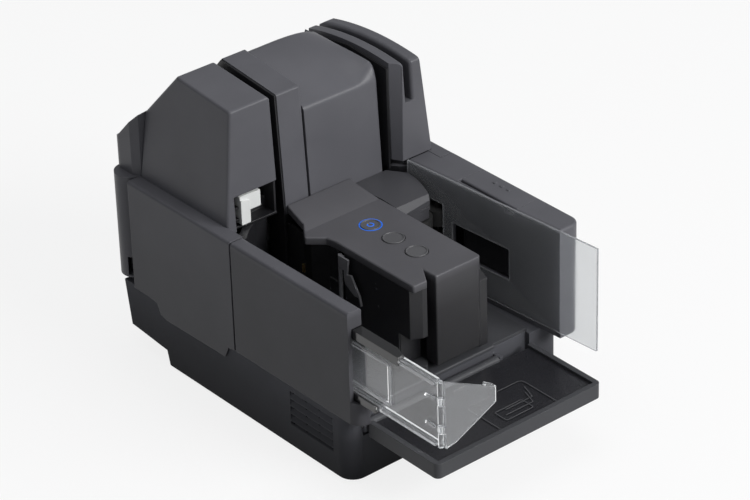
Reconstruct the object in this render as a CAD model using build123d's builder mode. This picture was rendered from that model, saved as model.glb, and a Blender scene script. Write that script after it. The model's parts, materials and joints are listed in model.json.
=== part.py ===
"""Desktop cheque scanner with two swinging side units.

X runs to the user's right, -Y towards the user, Z up. The origin is the centre of the footprint,
on the surface that the scanner stands on. All sizes are in millimetres.
"""
from build123d import *
import math
import os

os.makedirs("parts", exist_ok=True)

# ------------------------------------------------------------------ driving sizes
width = 193.0              # over the side covers
length = 348.0             # from the rear cover to the tip of the pulled-out eject guide
wall_top = 137.0           # top of the side covers and of the right housing
skirt = 52.0               # lower edge of the upper covers, top of the base housing
foot_gap = 1.5             # how far the rubber feet stand below the base
shell = 2.5                # wall of the plastic covers
seam = 0.4                 # gap between two covers
play = 0.3                 # gap between a moving piece and its neighbour
draft = 3.5                # the towers' fronts lean back by this angle
deck_thickness = 2.4       # floor plate of the two document pockets

half_width = width / 2
rear = length / 2
tip = -length / 2
deck_top = skirt + deck_thickness
moving_floor = deck_top + seam

# side covers and their hinges
side_thickness = 11.8      # left wall and side covers
post_radius = 11.6         # round hinge posts at the rear corners
post_inset = 12.0          # hinge axis from the outer side
hinge_x = half_width - post_inset
hinge_y = rear - 13.5
cover_rear = hinge_y - post_inset
pin_radius = 2.5
inner_left = -half_width + side_thickness
inner_right = half_width - side_thickness

# towers
tower_front = rear - 124.4  # front of the left and centre towers at the height of wall_top
apex_y = rear - 61.0       # ridge behind which the covers slope down
apex_z = 224.0             # top of the scanner
slope_y = rear - 27.0      # rear end of the towers
slope_z = 185.0            # height of the slope at slope_y
left_top_front = 219.5     # left tower, top of its front
strip_top_front = 218.5
centre_top_front = 200.6
centre_top_mid = 213.0
left_lean = 7.3            # the left tower's outer face leans in by this angle
track_wall = 1.2           # black side walls that stand in the document slots

# document track
track = 5.0                # width of the document slots
core_left = -36.5          # left side of the centre body
core_right = 52.0
core_rear_y = rear - 58.0  # centre of the round rear of the centre body
core_x = (core_left + core_right) / 2
core_radius = (core_right - core_left) / 2
outer_radius = core_radius + track
unit_rear = rear - 40.0    # inner guides of the swinging units end here
roller_bite = 2.3          # drive rollers stand this far into the track
roller_gap = 0.4           # between a drive roller and its pinch roller
roller_radius = 12.0
pinch_radius = 8.6
shaft_radius = 2.5

# control block
panel_top = 128.0
panel_lip = 5.4            # edge of the control cover
logo_rise = 7.6            # the rear zone of the control cover slopes up by this
crease_y = 23.0            # where that slope starts
block_front = -81.0
block_left = -13.6
block_right = 26.5
liner_left = -33.2
button_x = -1.7
button_first_y = -0.1
button_pitch = 23.9
button_radius = 7.7
button_gap = 0.45
ring_width = 0.6           # lit ring around the rear button
button_travel = 0.6

# right housing
housing_front = -104.5
housing_rear = tower_front - 23.6
guide_seat = tower_front - 10.6  # the housing's inner part and the document guide reach back to here
housing_face_x = half_width - 29.3  # inner face at its rear end
housing_skew = 0.0735      # the inner face runs outwards by this per millimetre towards the user
lid_front = -62.6
lid_rear = -6.9
lid_inner_x = half_width - 21.5

# left front wall and eject guide
front_wall_rear = tower_front - 16.7
side_cover_front = front_wall_rear + 1.6
front_wall_end = -89.0
nose_front = -97.0
guide_low = 69.0
guide_high = 124.0
rail_front = -134.5
guide_plate_x = 7.8 - half_width  # middle of the clear guide's plate
rail_travel = 40.0         # the rail slides this far into the wall
guide_travel = 37.0        # and the clear guide this far into the rail
rail_rear = -28.0          # cross piece at the rail's rear end
rail_cross = 5.5
channel_rear = rail_rear + rail_cross + rail_travel + 1.5
guide_rear = rail_rear - guide_travel - 1.5

# base and tray
base_inset = 1.5
base_x = half_width - base_inset
base_front = -85.4
base_corner = 12.0
step_y = rear - 61.0
tray_left = 14.5 - half_width
tray_right = half_width - 32.5
tray_front = -158.5
tray_rear = -89.8
tray_top = 47.5
tray_bottom = 36.3
barrel_y = -86.0
barrel_z = 44.0
barrel_radius = 3.4
barrel_right = 35.0
hinge_wall_y = -79.0       # inside of the front wall behind the barrel


def lean(z, base=tower_front):
    """Y of a tower's front face at the height z."""
    return base + (z - wall_top) * math.tan(math.radians(draft))


def bar(x0, x1, y0, y1, z0, z1, mode=Mode.ADD):
    """Rectangular bar between two corners."""
    with Locations(((x0 + x1) / 2, (y0 + y1) / 2, (z0 + z1) / 2)):
        Box(x1 - x0, y1 - y0, z1 - z0, mode=mode)


def outline(plane, corners):
    """Closed outline of (a, b) corners on a plane; a third value rounds the corner."""
    with BuildSketch(plane) as sketch:
        with BuildLine():
            Polyline(*[corner[:2] for corner in corners], close=True)
        make_face()
        for corner in corners:
            if len(corner) == 3:
                a, b, radius = corner
                vertex = min(sketch.vertices(), key=lambda v: (v.X - a) ** 2 + (v.Y - b) ** 2)
                fillet(vertex, radius)
    return sketch.sketch


def plan(corners, z0, z1, mode=Mode.ADD):
    """Prism on a plan outline, from z0 up to z1."""
    extrude(outline(Plane.XY.offset(z0), corners), amount=z1 - z0, mode=mode)


def side_view(corners, x0, x1, mode=Mode.ADD):
    """Prism on a (y, z) outline, from x0 to x1."""
    extrude(outline(Plane.YZ.offset(x0), corners), amount=x1 - x0, mode=mode)


def front_view(corners, y0, y1, mode=Mode.ADD):
    """Prism on a (x, z) outline, from y0 to y1."""
    extrude(outline(Plane.XZ.offset(-y1), corners), amount=y1 - y0, mode=mode)


def post(x, y, z0, z1, radius, mode=Mode.ADD):
    """Upright cylinder."""
    with Locations((x, y, (z0 + z1) / 2)):
        Cylinder(radius, z1 - z0, mode=mode)


def rod_x(x0, x1, y, z, radius, mode=Mode.ADD):
    """Cylinder along X."""
    with Locations(((x0 + x1) / 2, y, z)):
        Cylinder(radius, x1 - x0, rotation=(0, 90, 0), mode=mode)


def rod_y(x, y0, y1, z, radius, mode=Mode.ADD):
    """Cylinder along Y."""
    with Locations((x, (y0 + y1) / 2, z)):
        Cylinder(radius, y1 - y0, rotation=(90, 0, 0), mode=mode)


def housing_face(y, offset=0.0):
    """X of the right housing's skewed inner face at y."""
    return housing_face_x + housing_skew * (housing_rear - y) + offset


# ------------------------------------------------------------------ places shared by several pieces
right_roller = (core_right - roller_radius + roller_bite, tower_front + 22.4)
left_roller = (core_left + roller_radius - roller_bite, tower_front + 26.4)
rear_roller = (core_x, core_rear_y + core_radius - roller_radius + roller_bite)
motor_place = (8.0, tower_front + 12.4)
pick_roller = (27.5, -40.0)
feed_roller = (housing_face_x - 16.7, 14.5)
feed_radius = 12.0
retard_radius = 8.0
retard_roller = (feed_roller[0] + feed_radius + roller_gap + retard_radius, feed_roller[1])
roller_bands = [(72.0, 86.0), (100.0, 114.0)]
roller_low = 66.0
roller_high = 120.0
frame_top = 128.0
belt_low = 57.0
belt_high = 63.0
pulley_radius = 5.5
motor_pulley_radius = 5.0
belt_thickness = 1.0
screw_x = half_width - 18.5
screw_places = [(side * screw_x, y) for y in (-70, 15, rear - 74) for side in (-1, 1)]
foot_x = half_width - 26.5
foot_places = [(side * foot_x, y) for y in (-62, rear - 82) for side in (-1, 1)]
board_posts = [(-55, -35), (45, -35), (-55, 40), (45, 40)]
board_z = 12.0
vent_rows = 5
vent_pitch = 6.0
vent_top = 45.0
vent_front = -68.0
vent_rear = -23.0
usb_place = (-58.0, 31.0)
inlet_place = (-34.0, 31.0)

# ------------------------------------------------------------------ base housing
plate_top = foot_gap + 2.0
cavity_top = skirt - shell
with BuildPart() as base_housing:
    side_view([(base_front, foot_gap), (step_y, foot_gap), (step_y + 3, 13.5), (rear - 17.5, 17),
               (rear - 12, skirt),
               (base_front, skirt)], -base_x, base_x)
    fillet(base_housing.edges().filter_by(Axis.Z).group_by(Axis.Y)[0], base_corner)
    fillet(base_housing.faces().sort_by(Axis.Z)[0].edges(), 1.2)
    with BuildPart(mode=Mode.PRIVATE) as base_cavity:
        side_view([(base_front + shell, 0), (step_y - 1, 0), (step_y - 1, 17), (rear - 20.6, 20),
                   (rear - 16, cavity_top),
                   (base_front + shell, cavity_top)], -base_x + shell, base_x - shell)
        fillet(base_cavity.edges().filter_by(Axis.Z).group_by(Axis.Y)[0], base_corner - shell)
        # thicker front wall behind the tray's hinge
        bar(-base_x, base_x, base_front, hinge_wall_y, 33, cavity_top + 1, Mode.SUBTRACT)
    add(base_cavity.part, mode=Mode.SUBTRACT)
    # recess for the tray's hinge barrel
    bar(tray_left - 1.5, tray_right + 1.5, base_front - 1, -81.6, 35.5, skirt + 1, Mode.SUBTRACT)
    # ears that hold the tray's pin
    for ear_x in (tray_left - 1.2, barrel_right + 1.9):
        bar(ear_x - 1.2, ear_x + 1.2, barrel_y - 2.5, -81.0, barrel_z - 4, barrel_z + 2.5)
        rod_x(ear_x - 3, ear_x + 3, barrel_y, barrel_z, 1.1, Mode.SUBTRACT)
    # screw bosses
    for x, y in screw_places:
        post(x, y, plate_top, cavity_top + 0.5, 4.0)
        post(x, y, plate_top - 1, 20, 1.25, Mode.SUBTRACT)
    # slanted louvres with small holes behind them
    for row in range(vent_rows):
        z = vent_top - row * vent_pitch
        foot = 4.6 if row < vent_rows - 1 else 1.8
        front_view([(-base_x - 0.1, z + 1.1), (-base_x + 1.4, z + 0.9), (-base_x + 1.4, z - 0.4),
                    (-base_x - 0.1, z - foot)], vent_front, vent_rear, Mode.SUBTRACT)
        for column in range(4):
            y = vent_rear - 2 - column * (vent_rear - vent_front - 4) / 3
            rod_x(-base_x - 1, -base_x + shell + 1, y, z, 1.1, Mode.SUBTRACT)
    # sockets in the rear wall, motor spigot, and the way up for the motor's shaft
    bar(usb_place[0] - 6.3, usb_place[0] + 6.3, rear - 26, rear - 9, usb_place[1] - 6, usb_place[1] + 6,
        Mode.SUBTRACT)
    bar(inlet_place[0] - 5.3, inlet_place[0] + 5.3, rear - 26, rear - 9, inlet_place[1] - 6,
        inlet_place[1] + 6,
        Mode.SUBTRACT)
    post(motor_place[0], motor_place[1], cavity_top - 1, skirt + 1, 4.0, Mode.SUBTRACT)
base_housing.part.label = "base_housing"
export_step(base_housing.part, "parts/base_housing.step")

with BuildPart() as base_plate:
    bar(-base_x + shell + play, base_x - shell - play, base_front + shell + play, step_y - 1 - play,
        foot_gap, plate_top)
    fillet(base_plate.edges().filter_by(Axis.Z).group_by(Axis.Y)[0], base_corner - shell)
    for x, y in board_posts:
        post(x, y, plate_top, board_z, 3.0)
    for x, y in foot_places:
        post(x, y, foot_gap - 1, foot_gap + 0.8, 7.2, Mode.SUBTRACT)
    for x, y in screw_places:
        post(x, y, 0, plate_top + 1, 1.7, Mode.SUBTRACT)
        post(x, y, 0, foot_gap + 0.9, 3.2, Mode.SUBTRACT)
    with Locations((0, 35, foot_gap + 1)):
        with GridLocations(12, 12, 5, 3):
            Box(9, 2.4, 4, mode=Mode.SUBTRACT)
base_plate.part.label = "base_plate"
export_step(base_plate.part, "parts/base_plate.step")

with BuildPart() as rubber_feet:
    for x, y in foot_places:
        post(x, y, 0, foot_gap + 0.8, 7.0)
    chamfer(rubber_feet.edges().group_by(Axis.Z)[0], 0.5)
rubber_feet.part.label = "rubber_feet"
export_step(rubber_feet.part, "parts/rubber_feet.step")

with BuildPart() as plate_screws:
    for x, y in screw_places:
        post(x, y, foot_gap + 0.2, foot_gap + 0.9, 2.9)
        post(x, y, foot_gap + 0.9, 14, 1.2)
plate_screws.part.label = "plate_screws"
export_step(plate_screws.part, "parts/plate_screws.step")

# ------------------------------------------------------------------ electronics and drive
with BuildPart() as main_board:
    bar(34.5 - half_width, 52, -42, rear - 127, board_z, board_z + 1.6)
    for x, y, dx, dy, dz in [(-30, -15, 17, 17, 1.6), (5, -15, 12, 12, 1.4), (30, 10, 14, 8, 2.6),
                             (-40, 25, 22, 6, 8), (-5, 25, 10, 10, 9), (20, -30, 8, 16, 4)]:
        bar(x - dx / 2, x + dx / 2, y - dy / 2, y + dy / 2, board_z + 1.6, board_z + 1.6 + dz)
    for x, y in [(36, -25), (44, -14), (-52, -5)]:
        post(x, y, board_z + 1.6, board_z + 13, 4)
main_board.part.label = "main_board"
export_step(main_board.part, "parts/main_board.step")

with BuildPart() as rear_sockets:
    bar(usb_place[0] - 6, usb_place[0] + 6, rear - 28, rear - 16, usb_place[1] - 5.6, usb_place[1] + 5.6)
    bar(usb_place[0] - 4.2, usb_place[0] + 4.2, rear - 24, rear - 15, usb_place[1] - 3.8,
        usb_place[1] + 3.8, Mode.SUBTRACT)
    bar(usb_place[0] - 2.8, usb_place[0] + 2.8, rear - 25, rear - 18, usb_place[1] - 1.6,
        usb_place[1] + 1.6)
    bar(inlet_place[0] - 5, inlet_place[0] + 5, rear - 28, rear - 16, inlet_place[1] - 5.6,
        inlet_place[1] + 5.6)
    rod_y(inlet_place[0], rear - 25, rear - 15, inlet_place[1], 3.2, Mode.SUBTRACT)
    rod_y(inlet_place[0], rear - 26, rear - 17.5, inlet_place[1], 1.0)
rear_sockets.part.label = "rear_sockets"
export_step(rear_sockets.part, "parts/rear_sockets.step")

with BuildPart() as drive_motor:
    post(motor_place[0], motor_place[1], 24, 47.6, 17.5)
    fillet(drive_motor.edges().filter_by(GeomType.CIRCLE), 1.5)
    bar(motor_place[0] - 24, motor_place[0] + 24, motor_place[1] - 9, motor_place[1] + 9, 47.6, cavity_top)
    post(motor_place[0], motor_place[1], 40, 50, 1.6, Mode.SUBTRACT)
drive_motor.part.label = "drive_motor"
export_step(drive_motor.part, "parts/drive_motor.step")

with BuildPart() as motor_pulley:
    post(motor_place[0], motor_place[1], 41, belt_high + 1.5, 1.5)
    post(motor_place[0], motor_place[1], belt_low, belt_high, motor_pulley_radius)
    post(motor_place[0], motor_place[1], belt_high, belt_high + 1, motor_pulley_radius + 1.5)
motor_pulley.part.label = "motor_pulley"
export_step(motor_pulley.part, "parts/motor_pulley.step")


def drive_roller(place):
    """Shaft with a belt pulley and two rubber bands."""
    x, y = place
    post(x, y, skirt + 0.3, frame_top - 0.6, shaft_radius)
    post(x, y, belt_low, belt_high, pulley_radius)
    post(x, y, belt_high, belt_high + 1, pulley_radius + 0.8)
    post(x, y, roller_bands[0][0] - 2, roller_bands[1][1] + 2, 4.5)
    for low, high in roller_bands:
        post(x, y, low, high, roller_radius)


with BuildPart() as right_drive_roller:
    drive_roller(right_roller)
right_drive_roller.part.label = "right_drive_roller"
export_step(right_drive_roller.part, "parts/right_drive_roller.step")

with BuildPart() as left_drive_roller:
    drive_roller(left_roller)
left_drive_roller.part.label = "left_drive_roller"
export_step(left_drive_roller.part, "parts/left_drive_roller.step")

with BuildPart() as rear_drive_roller:
    drive_roller(rear_roller)
rear_drive_roller.part.label = "rear_drive_roller"
export_step(rear_drive_roller.part, "parts/rear_drive_roller.step")


def belt_loop(grow):
    """Outline of the belt around the pulleys, grown outwards."""
    with BuildSketch(Plane.XY.offset(belt_low + 0.3)) as sketch:
        for (x, y), radius in [(right_roller, pulley_radius), (left_roller, pulley_radius),
                               (rear_roller, pulley_radius), (motor_place, motor_pulley_radius)]:
            with Locations((x, y)):
                Circle(radius + grow)
        make_hull()
    return sketch.sketch


with BuildPart() as drive_belt:
    extrude(belt_loop(play + belt_thickness), amount=belt_high - belt_low - 0.6)
    extrude(belt_loop(play), amount=belt_high - belt_low - 0.6, mode=Mode.SUBTRACT)
drive_belt.part.label = "drive_belt"
export_step(drive_belt.part, "parts/drive_belt.step")

# ------------------------------------------------------------------ deck
with BuildPart() as deck:
    bar(inner_left + seam, housing_face_x - 0.8, -81.4, rear - 31, skirt, deck_top)
    # sill over the tray's hinge
    bar(19.5 - half_width, barrel_right, -83.4, -81.4, skirt, deck_top)
    fillet(deck.edges().filter_by(Axis.X).group_by(Axis.Y)[0].sort_by(Axis.Z)[-1:], 1.2)
    for place in (right_roller, left_roller, rear_roller):
        post(place[0], place[1], skirt - 1, deck_top + 1, shaft_radius + 0.15, Mode.SUBTRACT)
    post(motor_place[0], motor_place[1], skirt - 1, deck_top + 1, 4.0, Mode.SUBTRACT)
    with BuildSketch(Plane.XY.offset(skirt - 1)):
        with Locations((core_x, core_rear_y)):
            Rectangle(2 * outer_radius + 120, 60, align=(Align.CENTER, Align.MIN))
            Circle(outer_radius - 0.5, mode=Mode.SUBTRACT)
    extrude(amount=deck_thickness + 2, mode=Mode.SUBTRACT)
    # small ramp beside the control block
    plan([(-24.7, -71.4), (-19.2, -76.9, 1.0), (block_left - 0.8, -72.0, 1.0), (block_left - 0.8, -65.2),
          (-22.5, -65.2)], deck_top - 0.5, deck_top + 4.0)
deck.part.label = "deck"
export_step(deck.part, "parts/deck.step")

# ------------------------------------------------------------------ left front wall
with BuildPart() as left_front_wall:
    bar(-half_width, inner_left, front_wall_end, front_wall_rear, skirt, wall_top)
    plan([(-half_width, nose_front, 9.0), (inner_left, nose_front, 2.0), (inner_left, front_wall_end + 1),
          (-half_width, front_wall_end + 1)], skirt, guide_low)
    # channel in which the eject guide slides
    bar(-half_width + 3.3, inner_left + 1, nose_front - 1, channel_rear, guide_low, guide_high,
        Mode.SUBTRACT)
    # feet of the wall stay above the base's side
    fillet(left_front_wall.edges().filter_by(Axis.Y).group_by(Axis.Z)[-1], 2.2)
left_front_wall.part.label = "left_front_wall"
export_step(left_front_wall.part, "parts/left_front_wall.step")

# ------------------------------------------------------------------ eject guide
rail_left = -half_width + 3.3 + play
rail_right = inner_left - play
bead = 2.5                 # half width of the clear guide's beads
with BuildPart() as guide_rail:
    bar(rail_left, rail_right, rail_front, rail_rear, 117.2, guide_high - play)
    bar(rail_left, rail_right, rail_front + 24, rail_rear, guide_low + play, 75.0)
    bar(rail_left, rail_right, rail_rear, rail_rear + rail_cross, guide_low + play, guide_high - play)
    # grooves for the beads
    bar(guide_plate_x - bead - play, guide_plate_x + bead + play, rail_front - 1, rail_rear, 117.0,
        121.4, Mode.SUBTRACT)
    bar(guide_plate_x - bead - play, guide_plate_x + bead + play, rail_front - 1, rail_rear, 71.2,
        75.1, Mode.SUBTRACT)
    # the front end gives way to the folded flap
    plan([(rail_right + 1, rail_front - 1), (rail_right - 2.4, rail_front - 1),
          (rail_right - 2.4, rail_front + 2),
          (rail_right + 1, rail_front + 12)], 110, 130, Mode.SUBTRACT)
guide_rail.part.label = "guide_rail"
export_step(guide_rail.part, "parts/guide_rail.step")

guide_front = tip + 2.6
knuckle_y = tip + 3.4
knuckles = [(71.4, 82.0), (88.0, 103.0), (109.0, 121.0)]
with BuildPart() as clear_guide:
    bar(guide_plate_x - 0.9, guide_plate_x + 0.9, knuckle_y + 2.4, guide_rear, 73, 119)
    bar(guide_plate_x - bead, guide_plate_x + bead, guide_front + 4, guide_rear, 117.5, 121.0)
    bar(guide_plate_x - bead, guide_plate_x + bead, guide_front + 4, guide_rear, 71.5, 74.8)
    # raised window frame on the outer face
    front = -123.5
    rear_end = guide_rear - 1.5
    bar(guide_plate_x - 2.2, guide_plate_x - 0.9, front, rear_end, 80, 112)
    bar(guide_plate_x - 2.6, guide_plate_x - 0.9, front + 2, rear_end - 2, 82, 110, Mode.SUBTRACT)
    # two small stiffening ribs near the hinge
    for z in (86.0, 107.0):
        bar(guide_plate_x - 2.4, guide_plate_x - 0.9, guide_front + 4, guide_front + 13, z - 0.8, z + 0.8)
    # hinge barrel with its pin
    for low, high in knuckles:
        post(guide_plate_x, knuckle_y, low, high, 2.0)
        bar(guide_plate_x - 0.9, guide_plate_x + 0.9, knuckle_y, knuckle_y + 3,
            max(low, 73), min(high, 119))
    post(guide_plate_x, knuckle_y, knuckles[0][0], knuckles[-1][1], 0.8)
clear_guide.part.label = "clear_guide"
export_step(clear_guide.part, "parts/clear_guide.step")

flap_end = -44.5
with BuildPart() as stopper_flap:
    front_view([(guide_plate_x + 1.5, 70.8), (17.5 - half_width, 72.0), (flap_end, 88.0),
                (flap_end, 99.5), (17.5 - half_width, 117.0),
                (guide_plate_x + 1.5, 121.4)], tip, tip + 1.6)
    # lip at the far top corner
    front_view([(flap_end - 9, 103.2), (flap_end, 98.6), (flap_end, 100.4), (flap_end - 8, 105.4)], tip,
               tip + 3.4)
    for low, high in ((82.3, 87.7), (103.3, 108.7)):
        post(guide_plate_x, knuckle_y, low, high, 2.0)
        bar(guide_plate_x, guide_plate_x + 3, tip, tip + 1.6, low, high)
    post(guide_plate_x, knuckle_y, 60, 130, 0.95, Mode.SUBTRACT)
    # the plate stands clear of the guide's own knuckles
    for low, high in knuckles:
        post(guide_plate_x, knuckle_y, low - play, high + play, 2.3, Mode.SUBTRACT)
stopper_flap.part.label = "stopper_flap"
export_step(stopper_flap.part, "parts/stopper_flap.step")

# ------------------------------------------------------------------ tray
with BuildPart() as tray_frame:
    plan([(tray_left, tray_front, 4), (tray_right, tray_front, 4), (tray_right, tray_rear),
          (tray_left, tray_rear)],
         tray_bottom, tray_top)
    bar(tray_left + 4, tray_right - 4, tray_front + 4, tray_rear + 1, tray_top - 4.4, tray_top + 1,
        Mode.SUBTRACT)
    bar(tray_left + 2.2, tray_right - 2.2, tray_front + 2.2, tray_rear - 2.4, tray_bottom - 1,
        tray_top - 6.4,
        Mode.SUBTRACT)
    # hinge barrel along the rear edge
    bar(tray_left + 2, barrel_right, tray_rear - 1, barrel_y, tray_bottom + 1.5, barrel_z + 0.4)
    rod_x(tray_left + 2, barrel_right, barrel_y, barrel_z, barrel_radius)
    rod_x(tray_left, tray_right, barrel_y, barrel_z, 1.1, Mode.SUBTRACT)
tray_frame.part.label = "tray_frame"
export_step(tray_frame.part, "parts/tray_frame.step")

with BuildPart() as tray_plate:
    plan([(tray_left + 4.2, tray_front + 4.2, 2), (tray_right - 4.2, tray_front + 4.2, 2),
          (tray_right - 4.2, tray_rear - 1.2), (tray_left + 4.2, tray_rear - 1.2)],
         tray_top - 4.4, tray_top - 2.0)
    # slots for the plate's clips along the front edge
    for x in (-73.0, -28.0, 31.0):
        bar(x - 5, x + 5, tray_front + 3, tray_front + 5.6, tray_top - 5, tray_top, Mode.SUBTRACT)
    # low ridge in the middle
    bar(-14, -4, -97, -95.6, tray_top - 2.0, tray_top - 1.2)
tray_plate.part.label = "tray_plate"
export_step(tray_plate.part, "parts/tray_plate.step")

# ------------------------------------------------------------------ centre body
front_low = lean(frame_top)


def core_plan(grow):
    """Plan of the centre body: straight sides and a round rear, grown outwards."""
    with BuildSketch(Plane.XY.offset(skirt)) as sketch:
        with Locations((core_x, core_rear_y)):
            Circle(core_radius + grow)
            Rectangle(2 * (core_radius + grow), core_rear_y - 49.6 + grow, align=(Align.CENTER, Align.MAX))
    return sketch.sketch


def strip_profile(drop, foot):
    """Side view of the tall strip, lowered by drop, standing on foot."""
    return [(lean(foot) + drop, foot), (rear - 10 - drop, foot), (rear - 10 - drop, 169 - drop),
            (slope_y, slope_z - drop),
            (apex_y, apex_z - drop), (lean(strip_top_front) + drop, strip_top_front - drop)]


with BuildPart() as center_frame:
    extrude(core_plan(-0.2), amount=frame_top - skirt)
    bar(-200, 200, -100, 300, skirt - 1, deck_top, Mode.SUBTRACT)
    extrude(core_plan(-0.2 - 2.2), amount=frame_top - skirt - 2.2, mode=Mode.SUBTRACT)
    for x, y in (right_roller, left_roller, rear_roller):
        post(x, y, frame_top - 3, frame_top + 1, shaft_radius + 0.15, Mode.SUBTRACT)
        for low, high in roller_bands:
            post(x, y, low - 1.5, high + 1.5, roller_radius + 0.8, Mode.SUBTRACT)
    # windows of the read head and of the front image sensor
    bar(core_right - 4, core_right + 1, rear - 82, rear - 70, 60, 122, Mode.SUBTRACT)
    bar(core_right - 4, core_right + 1, rear - 66, rear - 59, 58, 71, Mode.SUBTRACT)
    # black wall that lines the left document slot up to the top of the strip
    with BuildPart(mode=Mode.PRIVATE) as slot_wall:
        side_view(strip_profile(0.6, frame_top - 1), core_left, core_left + track_wall)
        extrude(core_plan(0), amount=300, mode=Mode.INTERSECT)
    add(slot_wall.part)
center_frame.part.label = "center_frame"
export_step(center_frame.part, "parts/center_frame.step")


with BuildPart() as center_cover:
    with BuildSketch(Plane.YZ.offset(-13.3)):
        with BuildLine():
            Polyline((lean(centre_top_front, tower_front), centre_top_front), (front_low, frame_top + seam),
                     (rear - 10, frame_top + seam), (rear - 10, 168), (slope_y, slope_z - 1),
                     (apex_y, apex_z - 1.6))
            ThreePointArc((apex_y, apex_z - 1.6), (apex_y - 34, centre_top_mid),
                          (lean(centre_top_front, tower_front), centre_top_front))
        make_face()
    extrude(amount=core_right + 13.3)
    extrude(core_plan(0), amount=300, mode=Mode.INTERSECT)
    top_edges = center_cover.edges().filter_by(lambda e: e.center().Z > 190 and e.center().Y < apex_y - 1)
    fillet(top_edges.filter_by(Axis.X).sort_by(Axis.Y)[0], 3.5)
    fillet(center_cover.edges().filter_by(
        lambda e: e.center().Z > 190 and e.center().Y < apex_y - 1 and e.center().X > core_right - 0.1
        and abs(e.tangent_at(0.5).Y) > 0.4), 3.0)
    bar(-13.3 + 1.5, core_right - shell, front_low + 6, core_rear_y + 12, frame_top - 1, 190, Mode.SUBTRACT)
center_cover.part.label = "center_cover"
export_step(center_cover.part, "parts/center_cover.step")

with BuildPart() as center_strip:
    strip_left = core_left + track_wall + 0.1
    side_view(strip_profile(0, frame_top + seam), strip_left, -13.3 - seam)
    extrude(core_plan(0), amount=300, mode=Mode.INTERSECT)
    fillet(center_strip.edges().filter_by(Axis.X).filter_by(
        lambda e: e.center().Z > 210 and e.center().Y < tower_front + 10), 2.0)
    fillet(center_strip.edges().filter_by(
        lambda e: e.center().Z > 210 and e.center().Y < apex_y - 1 and e.center().X > -15
        and abs(e.tangent_at(0.5).Y) > 0.4), 3.0)
    bar(strip_left + shell, -13.3 - seam - 1.5, front_low + 6, core_rear_y + 12, frame_top - 1, 205,
        Mode.SUBTRACT)
center_strip.part.label = "center_strip"
export_step(center_strip.part, "parts/center_strip.step")

with BuildPart() as front_image_sensor:
    bar(core_right - 10.2, core_right - 4.2, rear - 81.7, rear - 70.3, deck_top, 124)
    bar(core_right - 4.2, core_right - 0.6, rear - 81.7, rear - 70.3, 60.3, 121.7)
front_image_sensor.part.label = "front_image_sensor"
export_step(front_image_sensor.part, "parts/front_image_sensor.step")

with BuildPart() as read_head:
    bar(core_right - 13, core_right - 4.2, rear - 67, rear - 58, deck_top, 74)
    bar(core_right - 4.2, core_right - 0.4, rear - 65.7, rear - 59.3, 58.3, 70.7)
    fillet(read_head.edges().filter_by(Axis.Z).group_by(Axis.X)[-1], 1.6)
read_head.part.label = "read_head"
export_step(read_head.part, "parts/read_head.step")

# ------------------------------------------------------------------ rear cover
lower_knuckle = (58.0, 72.0)
upper_knuckle = (113.0, 127.0)
arm_half = 3.0             # half width of a hinge arm
arm_angle = 54.0           # the upper arms leave the pin at this angle to the front
swing = 35.0               # the side units open by this angle


def arm_sweep(side):
    """Room that an upper hinge arm needs in the rear cover while its unit swings out."""
    reach, room = 25.0, arm_half + 0.5
    corners = []
    for angle, turn in ((arm_angle, 90), (arm_angle + swing, -90)):
        out, across = math.radians(-angle), math.radians(-angle + turn)
        foot = (room * math.cos(across), room * math.sin(across))
        end = (foot[0] + reach * math.cos(out), foot[1] + reach * math.sin(out))
        corners += [foot, end] if turn > 0 else [end, foot]
    return [(side * (hinge_x - x), hinge_y + y) for x, y in corners]


with BuildPart() as rear_cover:
    plan([(-hinge_x, rear - 25.6), (-36, rear - 39.2), (52, rear - 39.2), (hinge_x, rear - 25.6),
          (hinge_x, rear), (-hinge_x, rear)],
         skirt + seam, wall_top)
    for x in (-hinge_x, hinge_x):
        post(x, hinge_y, skirt + 4, wall_top, post_radius)
    plan([(11.9 - half_width, rear - 26.8), (-36, rear - 39.2), (52, rear - 39.2),
          (half_width - 11.9, rear - 26.8), (half_width - 8.2, rear - 21), (half_width - 8.2, rear, 8),
          (8.2 - half_width, rear, 8), (8.2 - half_width, rear - 21)], wall_top, 230)
    side_view([(rear - 44, 204.8), (slope_y, slope_z), (rear - 6.6, 163.1), (rear + 6, 156.6),
               (rear + 6, 240), (rear - 44, 240)], -half_width - 3.5, half_width + 3.5,
              Mode.SUBTRACT)
    with BuildSketch(Plane.XY.offset(skirt)) as turn:
        with Locations((core_x, core_rear_y)):
            Circle(outer_radius)
    extrude(turn.sketch, amount=200, mode=Mode.SUBTRACT)
    with BuildSketch(Plane.XY.offset(skirt)) as cavity:
        with BuildLine():
            Polyline((22.5 - half_width, cover_rear + 0.5), (half_width - 22.5, cover_rear + 0.5),
                     (half_width - 22.5, rear - shell), (22.5 - half_width, rear - shell), close=True)
        make_face()
        with Locations((core_x, core_rear_y)):
            Circle(outer_radius + shell, mode=Mode.SUBTRACT)
    extrude(cavity.sketch, amount=98, mode=Mode.SUBTRACT)
    # pocket of the rear pinch roller
    post(rear_roller[0], rear_roller[1] + roller_radius + roller_gap + 4, 68, 118, 4.4, Mode.SUBTRACT)
    for x, side in ((-hinge_x, -1), (hinge_x, 1)):
        post(x, hinge_y, skirt, wall_top - 4, pin_radius, Mode.SUBTRACT)
        # openings in which the knuckles of the swinging units turn
        low, high = lower_knuckle
        plan([(x - side * 3.4, hinge_y - 20), (x - side * 3.4, hinge_y + 3.4),
              (x + side * 3.4, hinge_y + 3.4),
              (x + side * 14, hinge_y - 8), (x + side * 14, hinge_y - 20)],
             low - 0.5, high + 0.5, Mode.SUBTRACT)
        post(x, hinge_y, low - 0.5, high + 0.5, 5.4, Mode.SUBTRACT)
        low, high = upper_knuckle
        plan(arm_sweep(side), low - 0.5, high + 0.5, Mode.SUBTRACT)
        post(x, hinge_y, low - 0.5, high + 0.5, 5.4, Mode.SUBTRACT)
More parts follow.
